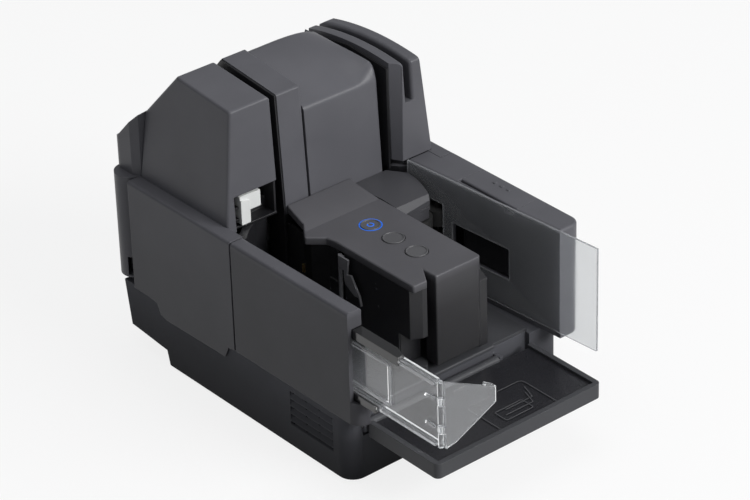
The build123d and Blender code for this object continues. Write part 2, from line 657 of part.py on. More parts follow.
rear_cover.part.label = "rear_cover"
export_step(rear_cover.part, "parts/rear_cover.step")

with BuildPart() as rear_pinch_roller:
    post(rear_roller[0], rear_roller[1] + roller_radius + roller_gap + 4, 68.4, 117.6, 1.5)
    for low, high in roller_bands:
        post(rear_roller[0], rear_roller[1] + roller_radius + roller_gap + 4, low, high, 4.0)
rear_pinch_roller.part.label = "rear_pinch_roller"
export_step(rear_pinch_roller.part, "parts/rear_pinch_roller.step")


# ------------------------------------------------------------------ left swinging unit
def slope_at(y):
    """Height of the rear slope above y."""
    return apex_z + (slope_z - apex_z) * (y - apex_y) / (slope_y - apex_y)


def unit_parting(side, z0, z1):
    """Cuts a swinging unit along the seam in front of the rear cover."""
    inner = core_left if side < 0 else core_right
    plan([(side * 100, rear - 25.7), (side * 85.4, rear - 27.6), (inner, rear - 40.2),
          (core_x, rear - 40.2), (core_x, 200),
          (side * 100, 200)], z0, z1, Mode.SUBTRACT)


def turn_wall(z0, z1, mode=Mode.SUBTRACT):
    """Room inside the round outer wall of the track's rear turn."""
    with BuildSketch(Plane.XY.offset(z0)) as sketch:
        with Locations((core_x, core_rear_y)):
            Circle(outer_radius)
    extrude(sketch.sketch, amount=z1 - z0, mode=mode)


def hinge_knuckle(side, span):
    """Knuckle of a swinging unit around its hinge pin."""
    low, high = span
    post(side * hinge_x, hinge_y, low, high, 5.0)
    post(side * hinge_x, hinge_y, low - 1, high + 1, pin_radius + 0.05, Mode.SUBTRACT)


def lower_arm(side):
    """Arm from a side cover to the hinge."""
    x = side * hinge_x
    bar(x - arm_half, x + arm_half, cover_rear - 1.9, hinge_y, *lower_knuckle)
    hinge_knuckle(side, lower_knuckle)


def upper_arm(side):
    """Arm from an inner guide to the hinge, out of sight behind the seam."""
    out, across = math.radians(-arm_angle), math.radians(90 - arm_angle)
    corners = [(arm_half * math.cos(across) * k + reach * math.cos(out),
                arm_half * math.sin(across) * k + reach * math.sin(out))
               for k, reach in ((1, 0), (1, 24.0), (-1, 24.0), (-1, 0))]
    plan([(side * (hinge_x - x), hinge_y + y) for x, y in corners], *upper_knuckle)
    hinge_knuckle(side, upper_knuckle)


left_pinch = (left_roller[0] - roller_radius - roller_gap - pinch_radius, left_roller[1])
right_pinch = (right_roller[0] + roller_radius + roller_gap + pinch_radius, right_roller[1])
track_left = core_left - track
track_right = core_right + track
guide_top = 131.2
floor_z = guide_top + 0.3


def pinch_pocket(place):
    """Pocket and bearings of a pinch roller."""
    x, y = place
    post(x, y, roller_low, roller_high, pinch_radius + 0.7, Mode.SUBTRACT)
    post(x, y, roller_low - 5, roller_high + 5, 2.05, Mode.SUBTRACT)


def side_cover(side, front_y):
    """Long cover on the outside of a swinging unit, open underneath."""
    outer = side * half_width
    inner = side * (half_width - side_thickness)
    low, high = min(outer, inner), max(outer, inner)
    profile = [(front_y, wall_top), (front_y, skirt), (front_y + 7, 50.5), (front_y + 11, 41.8),
               (112, 40.5),
               (119, 42.5), (122, 50), (131, 51.2), (cover_rear - 0.2, 51.2), (cover_rear - 0.2, wall_top)]
    side_view(profile, low, high)
    # only a thin skirt hangs beside the base, the rest stays above it
    skirt_in = outer - side * 1.2
    bar(min(skirt_in, inner - side), max(skirt_in, inner - side), 0, rear - 14, 30, skirt + seam,
        Mode.SUBTRACT)
    bar(min(outer - side * shell, inner + side * 1.5), max(outer - side * shell, inner + side * 1.5),
        front_y + shell, cover_rear - 6, skirt - 1, wall_top - shell, Mode.SUBTRACT)


with BuildPart() as left_side_cover:
    side_cover(-1, side_cover_front)
    fillet(left_side_cover.edges().filter_by(Axis.Y).group_by(Axis.Z)[-1].sort_by(Axis.X)[0], 2.2)
    lower_arm(-1)
left_side_cover.part.label = "left_side_cover"
export_step(left_side_cover.part, "parts/left_side_cover.step")

with BuildPart() as left_inner_guide:
    plan([(inner_left + seam, rear - 138), (19.5 - half_width, rear - 134.5),
          (26.5 - half_width, rear - 128), (38.5 - half_width, rear - 119.5), (-45, rear - 114),
          (track_left, rear - 111), (track_left, core_rear_y), (-38, rear - 40), (-38, rear - 24),
          (inner_left + seam, rear - 24)], moving_floor, guide_top)
    unit_parting(-1, skirt, 200)
    turn_wall(skirt, 200)
    plan([(inner_left + 3, rear - 128), (20.5 - half_width, rear - 126),
          (32.5 - half_width, rear - 116), (36.5 - half_width, rear - 112),
          (36.5 - half_width, rear - 46), (inner_left + 3, rear - 39)],
         moving_floor + shell, guide_top + 1, Mode.SUBTRACT)
    pinch_pocket(left_pinch)
    # horizontal ribs that guide the sheets
    for z in (78, 92, 106):
        bar(track_left - 1, track_left + 0.5, rear - 84, rear - 62, z, z + 1.2)
    upper_arm(-1)
left_inner_guide.part.label = "left_inner_guide"
export_step(left_inner_guide.part, "parts/left_inner_guide.step")

bay = (18.5 - half_width, track_left, floor_z, 157.3)            # opening for the ink cartridge: x, x, z, z
bay_rear = tower_front + 28.4
cartridge_left = bay[0] + 5.6
cartridge_step = bay[0] + 13.3     # right side of the cartridge's leg
cartridge_right = bay[0] + 23.1
cartridge_low = 142.7      # underside of its wide part
with BuildPart() as left_tower:
    side_view([(lean(floor_z), floor_z), (lean(left_top_front), left_top_front), (apex_y, apex_z),
               (rear - 14, slope_at(160)),
               (rear - 14, floor_z)], 6.5 - half_width, track_left)
    top_x = -85.4 + (left_top_front - wall_top) * math.tan(math.radians(left_lean))
    front_view([(11.1 - half_width, wall_top), (top_x + 0.7, left_top_front + 6),
                (-half_width - 3.5, left_top_front + 6), (-half_width - 3.5, wall_top)],
               0, 200, Mode.SUBTRACT)
    bar(-half_width - 3.5, inner_left + seam, 0, 200, floor_z - 1, wall_top + 0.2, Mode.SUBTRACT)
    unit_parting(-1, skirt, 260)
    turn_wall(skirt, 260)
    fillet(left_tower.edges().filter_by(GeomType.LINE).filter_by(
        lambda e: e.length > 20 and e.center().Y < apex_y + 19 and (
            e.center().Z > 205
            or (e.center().X < inner_left + 10.7 and e.center().Y < tower_front + 10))), 2.2)
    # hollow behind the cartridge bay and over it
    inner_side = [(-79.5, floor_z - 1), (-79.5, 160), (-75.0, 198), (track_left - shell, 198),
                  (track_left - shell, floor_z - 1)]
    front_view(inner_side, bay_rear + shell, rear - 46, Mode.SUBTRACT)
    front_view([(-79.0, 160)] + inner_side[2:4] + [(track_left - shell, 160)], rear - 114, bay_rear + 4,
               Mode.SUBTRACT)
    bar(bay[0], bay[1] + 1, rear - 134, bay_rear, bay[2] - 1, bay[3], Mode.SUBTRACT)
left_tower.part.label = "left_tower"
export_step(left_tower.part, "parts/left_tower.step")

with BuildPart() as ink_holder:
    plan([(bay[0] + 0.2, rear - 121.4), (25.5 - half_width, rear - 121.4),
          (28 - half_width, rear - 122.4), (bay[1] - 0.4, rear - 123), (bay[1] - 0.4, bay_rear - 0.2),
          (bay[0] + 0.2, bay_rear - 0.2)], floor_z, floor_z + 1.5)
    bar(bay[0] + 0.2, bay[0] + 1.7, rear - 121.2, bay_rear - 0.2, floor_z, bay[3] - 0.4)
    bar(bay[1] - 2.0, bay[1] - 0.4, rear - 122.4, bay_rear - 0.2, floor_z, bay[3] - 0.4)
    # ledges that guide the cartridge
    for z in (137.0, 146.0):
        bar(bay[0] + 0.2, cartridge_left - 0.3, rear - 121.2, bay_rear - 0.2, z, z + 1.4)
    bar(bay[0] + 0.2, bay[1] - 0.4, bay_rear - 2, bay_rear - 0.2, floor_z, bay[3] - 0.4)
    bar(cartridge_step + 2.5, bay[1] - 0.4, rear - 112, bay_rear - 0.2, floor_z, cartridge_low - 0.5)
ink_holder.part.label = "ink_holder"
export_step(ink_holder.part, "parts/ink_holder.step")

with BuildPart() as ink_cartridge:
    front_view([(cartridge_left, 133.8, 0.6), (cartridge_step, 133.8, 0.6), (cartridge_step, cartridge_low),
                (cartridge_right, cartridge_low, 0.6), (cartridge_right, 155.1, 0.6),
                (cartridge_left, 155.1, 0.6)],
               rear - 122.4, rear - 100)
    # raised finger tab on the front of its leg
    front_view([(cartridge_left, 133.8, 0.6), (cartridge_step, 133.8, 0.6), (cartridge_step, 150.5, 0.6),
                (cartridge_left, 153.0, 0.6)], rear - 123.6, rear - 122)
ink_cartridge.part.label = "ink_cartridge"
export_step(ink_cartridge.part, "parts/ink_cartridge.step")

with BuildPart() as left_pinch_roller:
    post(left_pinch[0], left_pinch[1], roller_low - 4.6, roller_high + 4.6, 2.0)
    for low, high in roller_bands:
        post(left_pinch[0], left_pinch[1], low, high, pinch_radius)
left_pinch_roller.part.label = "left_pinch_roller"
export_step(left_pinch_roller.part, "parts/left_pinch_roller.step")

# ------------------------------------------------------------------ right swinging unit
with BuildPart() as right_side_cover:
    side_cover(1, housing_rear + 0.8)
    fillet(right_side_cover.edges().filter_by(Axis.Y).group_by(Axis.Z)[-1].sort_by(Axis.X)[-1], 2.2)
    lower_arm(1)
right_side_cover.part.label = "right_side_cover"
export_step(right_side_cover.part, "parts/right_side_cover.step")

right_front = tower_front - 10.1
swipe_left = half_width - 28.2
swipe_right = swipe_left + 5.0
swipe_floor = 180.0
right_sill = wall_top + 0.3      # the tower overhangs the right housing from this height


def slot_side(z, offset=0.0):
    """X of the right tower's face in the document slot at the height z."""
    return 56.2 + (z - wall_top) * 2.2 / 79 + offset


def facet_cutter():
    """Everything in front of the facet at the right tower's inner front corner."""
    with BuildPart(mode=Mode.PRIVATE) as cutter:
        for z, (x, y), (inner_x, inner_y) in (
                (125, (60.8, right_front - 0.8), (54.8, right_front + 10.8)),
                (220, (67.2, right_front + 5.3), (57.7, right_front + 12.8))):
            with BuildSketch(Plane.XY.offset(z)):
                with BuildLine():
                    Polyline((x, 20), (x, y), (inner_x, inner_y), (40, inner_y + 12), (40, 20), close=True)
                make_face()
        loft(ruled=True)
    return cutter.part


with BuildPart() as right_inner_guide:
    plan([(inner_right - seam, rear - 133.1), (half_width - 29.9, rear - 133.1),
          (half_width - 34.5, rear - 129.4), (track_right, rear - 123), (track_right, core_rear_y),
          (53.5, rear - 40), (53.5, rear - 24), (inner_right - seam, rear - 24)], moving_floor, guide_top)
    # riser under the front of the tower
    plan([(inner_right - seam, rear - 131), (half_width - 28.5, rear - 131),
          (half_width - 32, rear - 127.5), (60.5, rear - 121), (60.5, rear - 116),
          (inner_right - seam, rear - 116)], guide_top - 1, wall_top)
    # black wall that lines the document slot
    with BuildPart(mode=Mode.PRIVATE) as slot_wall:
        side_view([(rear - 126, guide_top - 1), (rear - 24, guide_top - 1), (rear - 24, 194),
                   (rear - 28, 197.5), (rear - 37, 203.5), (rear - 82, 209.5),
                   (rear - 126, 206)], 50, 80)
        front_view([(slot_side(guide_top), guide_top - 2),
                    (slot_side(guide_top, track_wall), guide_top - 2),
                    (slot_side(216, track_wall), 216), (slot_side(216), 216)], 0, 200, Mode.INTERSECT)
        add(facet_cutter(), mode=Mode.SUBTRACT)
    add(slot_wall.part)
    unit_parting(1, skirt, 260)
    turn_wall(skirt, 260)
    plan([(inner_right - 3, rear - 128), (half_width - 20.5, rear - 128),
          (half_width - 20.5, rear - 46), (inner_right - 3, rear - 39)], moving_floor + shell, wall_top + 1,
         Mode.SUBTRACT)
    pinch_pocket(right_pinch)
    bar(track_right - 1, track_right + 9, rear - 68.3, rear - 56.7, 60, 124, Mode.SUBTRACT)
    upper_arm(1)
right_inner_guide.part.label = "right_inner_guide"
export_step(right_inner_guide.part, "parts/right_inner_guide.step")

with BuildPart() as back_image_sensor:
    bar(track_right + 0.4, track_right + 8.8, rear - 68, rear - 57, 60.2, 123.8)
back_image_sensor.part.label = "back_image_sensor"
export_step(back_image_sensor.part, "parts/back_image_sensor.step")

with BuildPart() as right_pinch_roller:
    post(right_pinch[0], right_pinch[1], roller_low - 4.6, roller_high + 4.6, 2.0)
    for low, high in roller_bands:
        post(right_pinch[0], right_pinch[1], low, high, pinch_radius)
right_pinch_roller.part.label = "right_pinch_roller"
export_step(right_pinch_roller.part, "parts/right_pinch_roller.step")

with BuildPart() as right_tower:
    with BuildSketch(Plane.YZ.offset(50)):
        with BuildLine():
            Polyline((lean(209.5, right_front), 209.5), (lean(right_sill, right_front), right_sill),
                     (right_front + 19.5, right_sill), (right_front + 19.5, floor_z), (rear - 14, floor_z),
                     (rear - 14, 188), (rear - 27.5, 199), (rear - 37, 205.5))
            ThreePointArc((rear - 37, 205.5), (rear - 82, 212), (lean(209.5, right_front), 209.5))
        make_face()
    extrude(amount=40)
    fillet(right_tower.edges().filter_by(Axis.X).filter_by(
        lambda e: e.center().Z > 205 and e.center().Y < right_front + 20), 3.5)
    front_view([(half_width - 8.7, wall_top), (half_width - 15.3, 220), (half_width + 3.5, 220),
                (half_width + 3.5, wall_top)], 0, 200, Mode.SUBTRACT)
    front_view([(slot_side(wall_top, track_wall + 0.1), wall_top),
                (slot_side(220, track_wall + 0.1), 220), (40, 220),
                (40, floor_z - 1), (slot_side(wall_top, track_wall + 0.1), floor_z - 1)],
               0, 200, Mode.SUBTRACT)
    bar(inner_right - seam, half_width + 3.5, 0, 200, floor_z - 1, wall_top + 0.2, Mode.SUBTRACT)
    add(facet_cutter(), mode=Mode.SUBTRACT)
    unit_parting(1, skirt, 260)
    turn_wall(skirt, 260)
    # card slot with a flared mouth
    bar(swipe_left, swipe_right, 0, 200, swipe_floor, 230, Mode.SUBTRACT)
    fillet(right_tower.edges().filter_by(
        lambda e: e.center().Z > 203 and e.length > 40
        and swipe_left - 8 < e.center().X < swipe_right + 6.7), 2.6)
    # hollow under the slot and a pocket for the reading head
    bar(half_width - 35, half_width - 16, rear - 113.5, rear - 46, floor_z - 1, 174, Mode.SUBTRACT)
    bar(half_width - 34.3, swipe_left + 0.1, rear - 98, rear - 82, swipe_floor + 4, swipe_floor + 20,
        Mode.SUBTRACT)
right_tower.part.label = "right_tower"
export_step(right_tower.part, "parts/right_tower.step")

with BuildPart() as card_reader_head:
    bar(half_width - 34, swipe_left + 0.2, rear - 97.7, rear - 82.3, swipe_floor + 4.3, swipe_floor + 19.7)
    rod_x(swipe_left - 2, swipe_left + 0.7, rear - 90, swipe_floor + 12, 4.0)
card_reader_head.part.label = "card_reader_head"
export_step(card_reader_head.part, "parts/card_reader_head.step")

# ------------------------------------------------------------------ right housing
lid_axis_x = half_width - 2.1
lid_axis_z = 127.6
lid_knuckle = 2.1
arm_pivot = (half_width - 19.0, -9.5)
window_low = 79.0
window_high = 104.0
with BuildPart() as right_housing:
    plan([(housing_face(guide_seat), guide_seat), (housing_face(housing_front), housing_front),
          (half_width, housing_front, 9.0), (half_width, housing_rear), (inner_right - seam, housing_rear),
          (inner_right - seam, guide_seat)], skirt, wall_top)
    fillet(right_housing.faces().sort_by(Axis.Z)[-1].edges().filter_by(
        lambda e: e.center().Y < housing_rear - 1), 2.0)
    cavity = [(housing_face(23.5, shell), 23.5), (housing_face(-102, shell), -102),
              (half_width - shell, -102, 6.0), (half_width - shell, 23.5)]
    plan(cavity, skirt - 1, wall_top - shell, Mode.SUBTRACT)
    # box under the lid, and the bearings of the pressing arm and of the retard roller
    plan([(housing_face(-3, 1), -3), (housing_face(-66, 1), -66), (half_width - 1, -66),
          (half_width - 1, -3)],
         window_high, wall_top - 1.2)
    plan([(half_width - 24.7, lid_rear + 0.3), (half_width - 23.1, lid_front - 0.3),
          (half_width + 1, lid_front - 0.3),
          (half_width + 1, lid_rear + 0.3)], lid_axis_z + 4, wall_top + 1, Mode.SUBTRACT)
    plan([(half_width - 22.3, lid_rear + 0.3), (half_width - 20.7, lid_front - 0.3),
          (half_width - 4.6, lid_front - 0.3),
          (half_width - 4.6, lid_rear + 0.3)], window_high + 3, wall_top + 1, Mode.SUBTRACT)
    bar(half_width - 4.6, half_width + 1, lid_front - 0.3, lid_rear + 0.3, lid_axis_z - lid_knuckle - 0.8,
        wall_top + 1, Mode.SUBTRACT)
    plan([(housing_face(-2, 1), -2), (housing_face(-62, 1), -62), (half_width - 6.5, -62),
          (half_width - 6.5, -2)], window_low - 2.6, window_low)
    plan([(housing_face(22, 1), 24.5), (housing_face(5, 1), 4), (half_width - 12.5, 4),
          (half_width - 12.5, 24.5)], 66, 68.4)
    plan([(housing_face(22, 1), 24.5), (housing_face(5, 1), 4), (half_width - 12.5, 4),
          (half_width - 12.5, 24.5)], 115.6, 118)
    # windows in the inner face
    plan([(housing_face(-3.5, -1), -3.5), (housing_face(-58, -1), -58), (housing_face(-58, shell + 2), -58),
          (housing_face(-3.5, shell + 2), -3.5)], window_low, window_high, Mode.SUBTRACT)
    post(retard_roller[0], retard_roller[1], 68.4, 115.6, retard_radius + 0.8, Mode.SUBTRACT)
    post(retard_roller[0], retard_roller[1], 60, 125, 1.85, Mode.SUBTRACT)
    post(arm_pivot[0], arm_pivot[1], window_low - 4, window_high + 2, 1.55, Mode.SUBTRACT)
    rod_y(lid_axis_x, lid_front - 3, lid_rear + 3, lid_axis_z, 0.9, Mode.SUBTRACT)
right_housing.part.label = "right_housing"
export_step(right_housing.part, "parts/right_housing.step")

with BuildPart() as side_lid:
    front_view([(lid_inner_x, wall_top), (half_width, wall_top, 2.0), (half_width, lid_axis_z),
                (lid_axis_x - 1.2, lid_axis_z), (lid_axis_x - 1.2, wall_top - 2.4),
                (lid_inner_x + 1.5, wall_top - 2.4), (lid_inner_x, wall_top - 4.2)], lid_front, lid_rear)
    fillet(side_lid.edges().filter_by(Axis.Y).sort_by(lambda e: e.center().X - e.center().Z)[0], 1.4)
    rod_y(lid_axis_x, lid_front, lid_rear, lid_axis_z, lid_knuckle)
    rod_y(lid_axis_x, lid_front - 1, lid_rear + 1, lid_axis_z, 0.95, Mode.SUBTRACT)
    # three raised marks
    for y in (-26.5, -33.4, -40.4):
        post(half_width - 8.3, y, wall_top - 1, wall_top + 0.6, 1.4)
side_lid.part.label = "side_lid"
export_step(side_lid.part, "parts/side_lid.step")

with BuildPart() as hinge_pins:
    for x in (-hinge_x, hinge_x):
        post(x, hinge_y, skirt + 4.5, wall_top - 4.5, pin_radius - 0.05)
    rod_x(tray_left - 2.4, barrel_right + 3.1, barrel_y, barrel_z, 1.0)
    rod_y(lid_axis_x, lid_front - 2.6, lid_rear + 2.6, lid_axis_z, 0.88)
hinge_pins.part.label = "hinge_pins"
export_step(hinge_pins.part, "parts/hinge_pins.step")

plate_front = -138.6
with BuildPart() as document_guide:
    plan([(housing_face(guide_seat, -1.5), guide_seat), (housing_face(plate_front, -1.5), plate_front),
          (housing_face(plate_front), plate_front), (housing_face(guide_seat), guide_seat)], 57, wall_top)
    bar(60, half_width - 16.5, retard_roller[1] - retard_radius - 1.5,
        retard_roller[1] + retard_radius + 1.5, 69, 115,
        Mode.SUBTRACT)
    bar(60, half_width - 16.5, -58, -3.5, window_low, window_high, Mode.SUBTRACT)
document_guide.part.label = "document_guide"
export_step(document_guide.part, "parts/document_guide.step")

arm_z0 = window_low + 2.0
arm_z1 = window_high - 2.0
with BuildPart() as pressing_arm:
    post(arm_pivot[0], arm_pivot[1], window_low - 2.2, window_high + 1.6, 1.5)
    post(arm_pivot[0], arm_pivot[1], arm_z0, arm_z1, 3.2)
    plan([(arm_pivot[0] - 3, arm_pivot[1]), (half_width - 24.1, -24), (half_width - 22.5, -52),
          (half_width - 21.3, -55.5), (half_width - 19.5, -54), (half_width - 20.5, -24),
          (arm_pivot[0] + 2, arm_pivot[1] - 1)], arm_z0, arm_z1)
pressing_arm.part.label = "pressing_arm"
export_step(pressing_arm.part, "parts/pressing_arm.step")

with BuildPart() as retard_wheel:
    post(retard_roller[0], retard_roller[1], 66.4, 117.6, 1.8)
    for low, high in ((74.0, 86.0), (96.0, 108.0)):
        post(retard_roller[0], retard_roller[1], low, high, retard_radius)
retard_wheel.part.label = "retard_roller"
export_step(retard_wheel.part, "parts/retard_roller.step")

# ------------------------------------------------------------------ control block
cover_rear_y = tower_front - 1.0
panel_outline = [(-34.6, cover_rear_y), (-36.4, 30), (-45.4, 17.2, 1.5), (-34.6, 7.0, 1.5),
                 (liner_left, -1),
                 (liner_left, block_front, 1.5),
                 (-21.5, block_front, 1.0), (block_left - 0.2, -68.7), (block_left, block_front, 1.0),
                 (block_right, block_front, 3.0), (block_right, 22), (22, 44), (22, cover_rear_y)]


def panel(inset, drop, floor):
    """Top of the control block: flat in front, rising towards the towers."""
    with BuildPart(mode=Mode.PRIVATE) as body:
        top = panel_top - drop
        rise = logo_rise * (cover_rear_y - crease_y) / (tower_front - crease_y)
        side_view([(-90, top), (crease_y, top), (cover_rear_y, top + rise), (cover_rear_y, floor + rise),
                   (crease_y, floor), (-90, floor)], 36.5 - half_width, 60)
        with BuildSketch(Plane.XY.offset(100)) as inner:
            add(outline(Plane.XY.offset(100), panel_outline))
            if inset:
                offset(amount=-inset, kind=Kind.INTERSECTION)
        extrude(inner.sketch, amount=60, mode=Mode.INTERSECT)
    return body.part


with BuildPart() as control_cover:
    add(panel(0, 0, panel_top - panel_lip))
    upper_faces = control_cover.faces().filter_by(lambda f: f.normal_at().Z > 0.5)
    fillet([e for f in upper_faces for e in f.edges() if e.center().Y < cover_rear_y - 0.1
            and not (abs(e.center().Y - crease_y) < 0.01 and e.length > 50)], 1.2)
    # front and side aprons
    plan([(block_left, block_front, 1.0), (block_right, block_front, 3.0), (block_right, -70),
          (block_left, -70)],
         58, panel_top - 3)
    plan([(block_left + shell, block_front + shell), (block_right - shell, block_front + shell),
          (block_right - shell, -60), (block_left + shell, -60)], 57, panel_top + 1 - 3.5, Mode.SUBTRACT)
    add(panel(2.4, 2.6, 110), mode=Mode.SUBTRACT)
    for row in range(3):
        post(button_x, button_first_y - row * button_pitch, panel_top - 4, panel_top + 1,
             button_radius + button_gap, Mode.SUBTRACT)
control_cover.part.label = "control_cover"
export_step(control_cover.part, "parts/control_cover.step")

button_names = ["power_button", "middle_button", "front_button"]
for row, name in enumerate(button_names):
    y = button_first_y - row * button_pitch
    with BuildPart() as button:
        radius = button_radius - (ring_width if name == "power_button" else 0)
        post(button_x, y, panel_top - 6.2, panel_top + 0.7, radius)
        fillet(button.edges().group_by(Axis.Z)[-1], 0.45)
        post(button_x, y, panel_top + 0.2, panel_top + 1, radius - 0.9, Mode.SUBTRACT)
        post(button_x, y, panel_top - 6.2, panel_top - 3.6, button_radius + 1.4)
        if name == "power_button":
            # recess for the lit sign
            with BuildSketch(Plane.XY.offset(panel_top - 0.1)):
                with Locations((button_x, y)):
                    Circle(2.7)
                    Circle(1.7, mode=Mode.SUBTRACT)
            extrude(amount=1, mode=Mode.SUBTRACT)
    button.part.label = name
    export_step(button.part, "parts/" + name + ".step")

with BuildPart() as power_sign:
    with BuildSketch(Plane.XY.offset(panel_top - 0.1)):
        with Locations((button_x, button_first_y)):
            Circle(2.6)
            Circle(1.8, mode=Mode.SUBTRACT)
            with Locations((0, 2.2)):
                Rectangle(1.9, 1.8, mode=Mode.SUBTRACT)
    extrude(amount=0.4)
power_sign.part.label = "power_sign"
export_step(power_sign.part, "parts/power_sign.step")

with BuildPart() as power_light:
    with BuildSketch(Plane.XY.offset(panel_top - 3.2)):
        with Locations((button_x, button_first_y)):
            Circle(button_radius + button_gap - 0.01)
            Circle(button_radius + button_gap - ring_width, mode=Mode.SUBTRACT)
    extrude(amount=3.4)
power_light.part.label = "power_light"
export_step(power_light.part, "parts/power_light.step")

board_top = panel_top - 8.4
with BuildPart() as button_board:
    bar(button_x - 11, button_x + 13, -60, 12, board_top - 1.6, board_top)
    for row in range(3):
        y = button_first_y - row * button_pitch
        bar(button_x - 3, button_x + 3, y - 3, y + 3, board_top, board_top + 1.2)
    for x, y in ((button_x - 9, -58), (button_x + 11, -58), (button_x - 9, 10), (button_x + 11, 10)):
        post(x, y, board_top, panel_top - 2.6, 1.6)
button_board.part.label = "button_board"
export_step(button_board.part, "parts/button_board.step")

liner_top = panel_top - panel_lip
recess_rear = -64.4
with BuildPart() as eject_liner:
    plan([(-33, -9.0), (-33, -76.3), (-25.2, -80.6), (-21.4, -80.6), (-14.2, -67.4), (-14.2, -9.0)],
         deck_top,
         liner_top)
    plan([(-30.6, -11.4), (-30.6, -74.8), (-24.6, -78.2), (-22.8, -78.2), (-16.6, -66.6), (-16.6, -11.4)],
         deck_top - 1, liner_top + 1, Mode.SUBTRACT)
    # recess under the chamfered front corner
    bar(-34, -13, -82, recess_rear, deck_top - 1, 84.5, Mode.SUBTRACT)
    bar(-32, -15, recess_rear - 0.5, recess_rear + 1.5, deck_top, 84.5)
    # small moulded marks
    rod_x(-33.4, -32, -44.0, 96, 0.8)
    bar(-33.3, -32, -42.6, -41.4, 108.5, 109.7)
    bar(-33.3, -32, -42.8, -41.2, 112.5, 113.1)
eject_liner.part.label = "eject_liner"
export_step(eject_liner.part, "parts/eject_liner.step")

lever_pivot = (-34.8, -7.2)
guide_bend = (-39.5, 18.0)
guide_end = (-37.0, 29.0)
with BuildPart() as eject_rear_guide:
    plan([(-33.6, -5.0), (-33.6, 6), guide_bend, guide_end, (-35.8, rear - 126), (-14.2, rear - 126),
          (-14.2, -5.0)], deck_top,
         liner_top)
    plan([(-31.2, -2.6), (-31.2, 6.6), (-36.6, 17.6), (-34.4, 29), (-33.6, rear - 128.4),
          (-16.6, rear - 128.4), (-16.6, -2.6)],
         deck_top - 1, liner_top + 1, Mode.SUBTRACT)
    for z in (76, 97):
        bar(-34.4, -33, -5.0, 5.6, z, z + 1.0)
    bar(-34.6, -33, -5.0, -4.0, deck_top, liner_top)
    # bearing of the eject lever
    bar(lever_pivot[0] - 2, -33, -9.4, -4.6, 80.4, 83.6)
    post(lever_pivot[0], lever_pivot[1], 80, 84, 0.86, Mode.SUBTRACT)
eject_rear_guide.part.label = "eject_rear_guide"
export_step(eject_rear_guide.part, "parts/eject_rear_guide.step")

with BuildPart() as eject_lever:
    # stem, blade and the thin leg below the blade
    side_view([(-9.6, 121.4), (-17.4, 121.4), (-15.9, 109.6), (-20.0, 110.6), (-28.6, 97.8), (-30.3, 91.2),
               (-29.1, 90.6), (-27.4, 96.6), (-23.0, 96.3), (-13.6, 101.8), (-12.6, 106.5), (-12.6, 112),
               (-9.6, 112)], -36.6, -35.2)
    post(lever_pivot[0], lever_pivot[1], 84, 121.4, 1.5)
    post(lever_pivot[0], lever_pivot[1], 80.6, 84, 0.8)
    bar(-36.6, -34.2, -11.0, lever_pivot[1], 112, 121.4)
eject_lever.part.label = "eject_lever"
export_step(eject_lever.part, "parts/eject_lever.step")

with BuildPart() as antistatic_strip:
    plan([guide_end, (guide_end[0] - 0.6, guide_end[1]), (guide_end[0] - 0.7, guide_end[1] + 2.2),
          (guide_end[0], guide_end[1] + 2.2)], 92, 98)
antistatic_strip.part.label = "antistatic_strip"
export_step(antistatic_strip.part, "parts/antistatic_strip.step")

feed_face = 34.0
pick_radius = 8.0
with BuildPart() as feed_side_block:
    side_view([(-78, deck_top), (0.4, deck_top), (0.4, 117), (-60, 117), (-78, 106)], block_right + 0.3,
              feed_face)
    side_view([(-75.6, deck_top - 1), (-2, deck_top - 1), (-2, 114.6), (-59, 114.6), (-75.6, 104.6)],
              block_right, feed_face - 2.4, Mode.SUBTRACT)
    for low, high in ((74.0, 86.0), (96.0, 108.0)):
        post(pick_roller[0], pick_roller[1], low - 1, high + 1, pick_radius + 0.7, Mode.SUBTRACT)
    bar(block_right - 3.5, block_right + 5.2, pick_roller[1] - 4, pick_roller[1] + 4, 112.2, 114.6)
    bar(block_right - 3.5, block_right + 5.2, pick_roller[1] - 4, pick_roller[1] + 4, 66, 68.4)
    post(pick_roller[0], pick_roller[1], 60, 116, 1.85, Mode.SUBTRACT)
feed_side_block.part.label = "feed_side_block"
export_step(feed_side_block.part, "parts/feed_side_block.step")

with BuildPart() as pick_wheel:
    post(pick_roller[0], pick_roller[1], 66.2, 114.4, 1.8)
    for low, high in ((74.0, 86.0), (96.0, 108.0)):
        post(pick_roller[0], pick_roller[1], low, high, pick_radius)
pick_wheel.part.label = "pick_roller"
export_step(pick_wheel.part, "parts/pick_roller.step")

entry_corners = [(block_right + 0.3, 3.0), (housing_face_x - 11.9, 4.4), (housing_face_x - 7.5, 16),
                 (housing_face_x - 4.6, cover_rear_y - 21.7), (housing_face_x - 4.3, cover_rear_y - 12.1),
                 (core_right + 1.2, cover_rear_y), (22.3, cover_rear_y), (22.3, cover_rear_y - 4.4),
                 (block_right + 0.3, cover_rear_y - 26.2)]
with BuildPart() as entry_cover:
    with BuildSketch(Plane.XY.offset(100)) as entry_plan:
        add(outline(Plane.XY.offset(100), entry_corners))
    side_view([(2, 119), (6.5, 127.2), (cover_rear_y, 129.7), (cover_rear_y, 119)], 20, half_width - 30.5)
    extrude(entry_plan.sketch, amount=60, mode=Mode.INTERSECT)
    with BuildSketch(Plane.XY.offset(100)) as entry_inner:
        add(entry_plan.sketch)
        offset(amount=-2.4, kind=Kind.INTERSECTION)
    extrude(entry_inner.sketch, amount=24.2, mode=Mode.SUBTRACT)
entry_cover.part.label = "entry_cover"
export_step(entry_cover.part, "parts/entry_cover.step")

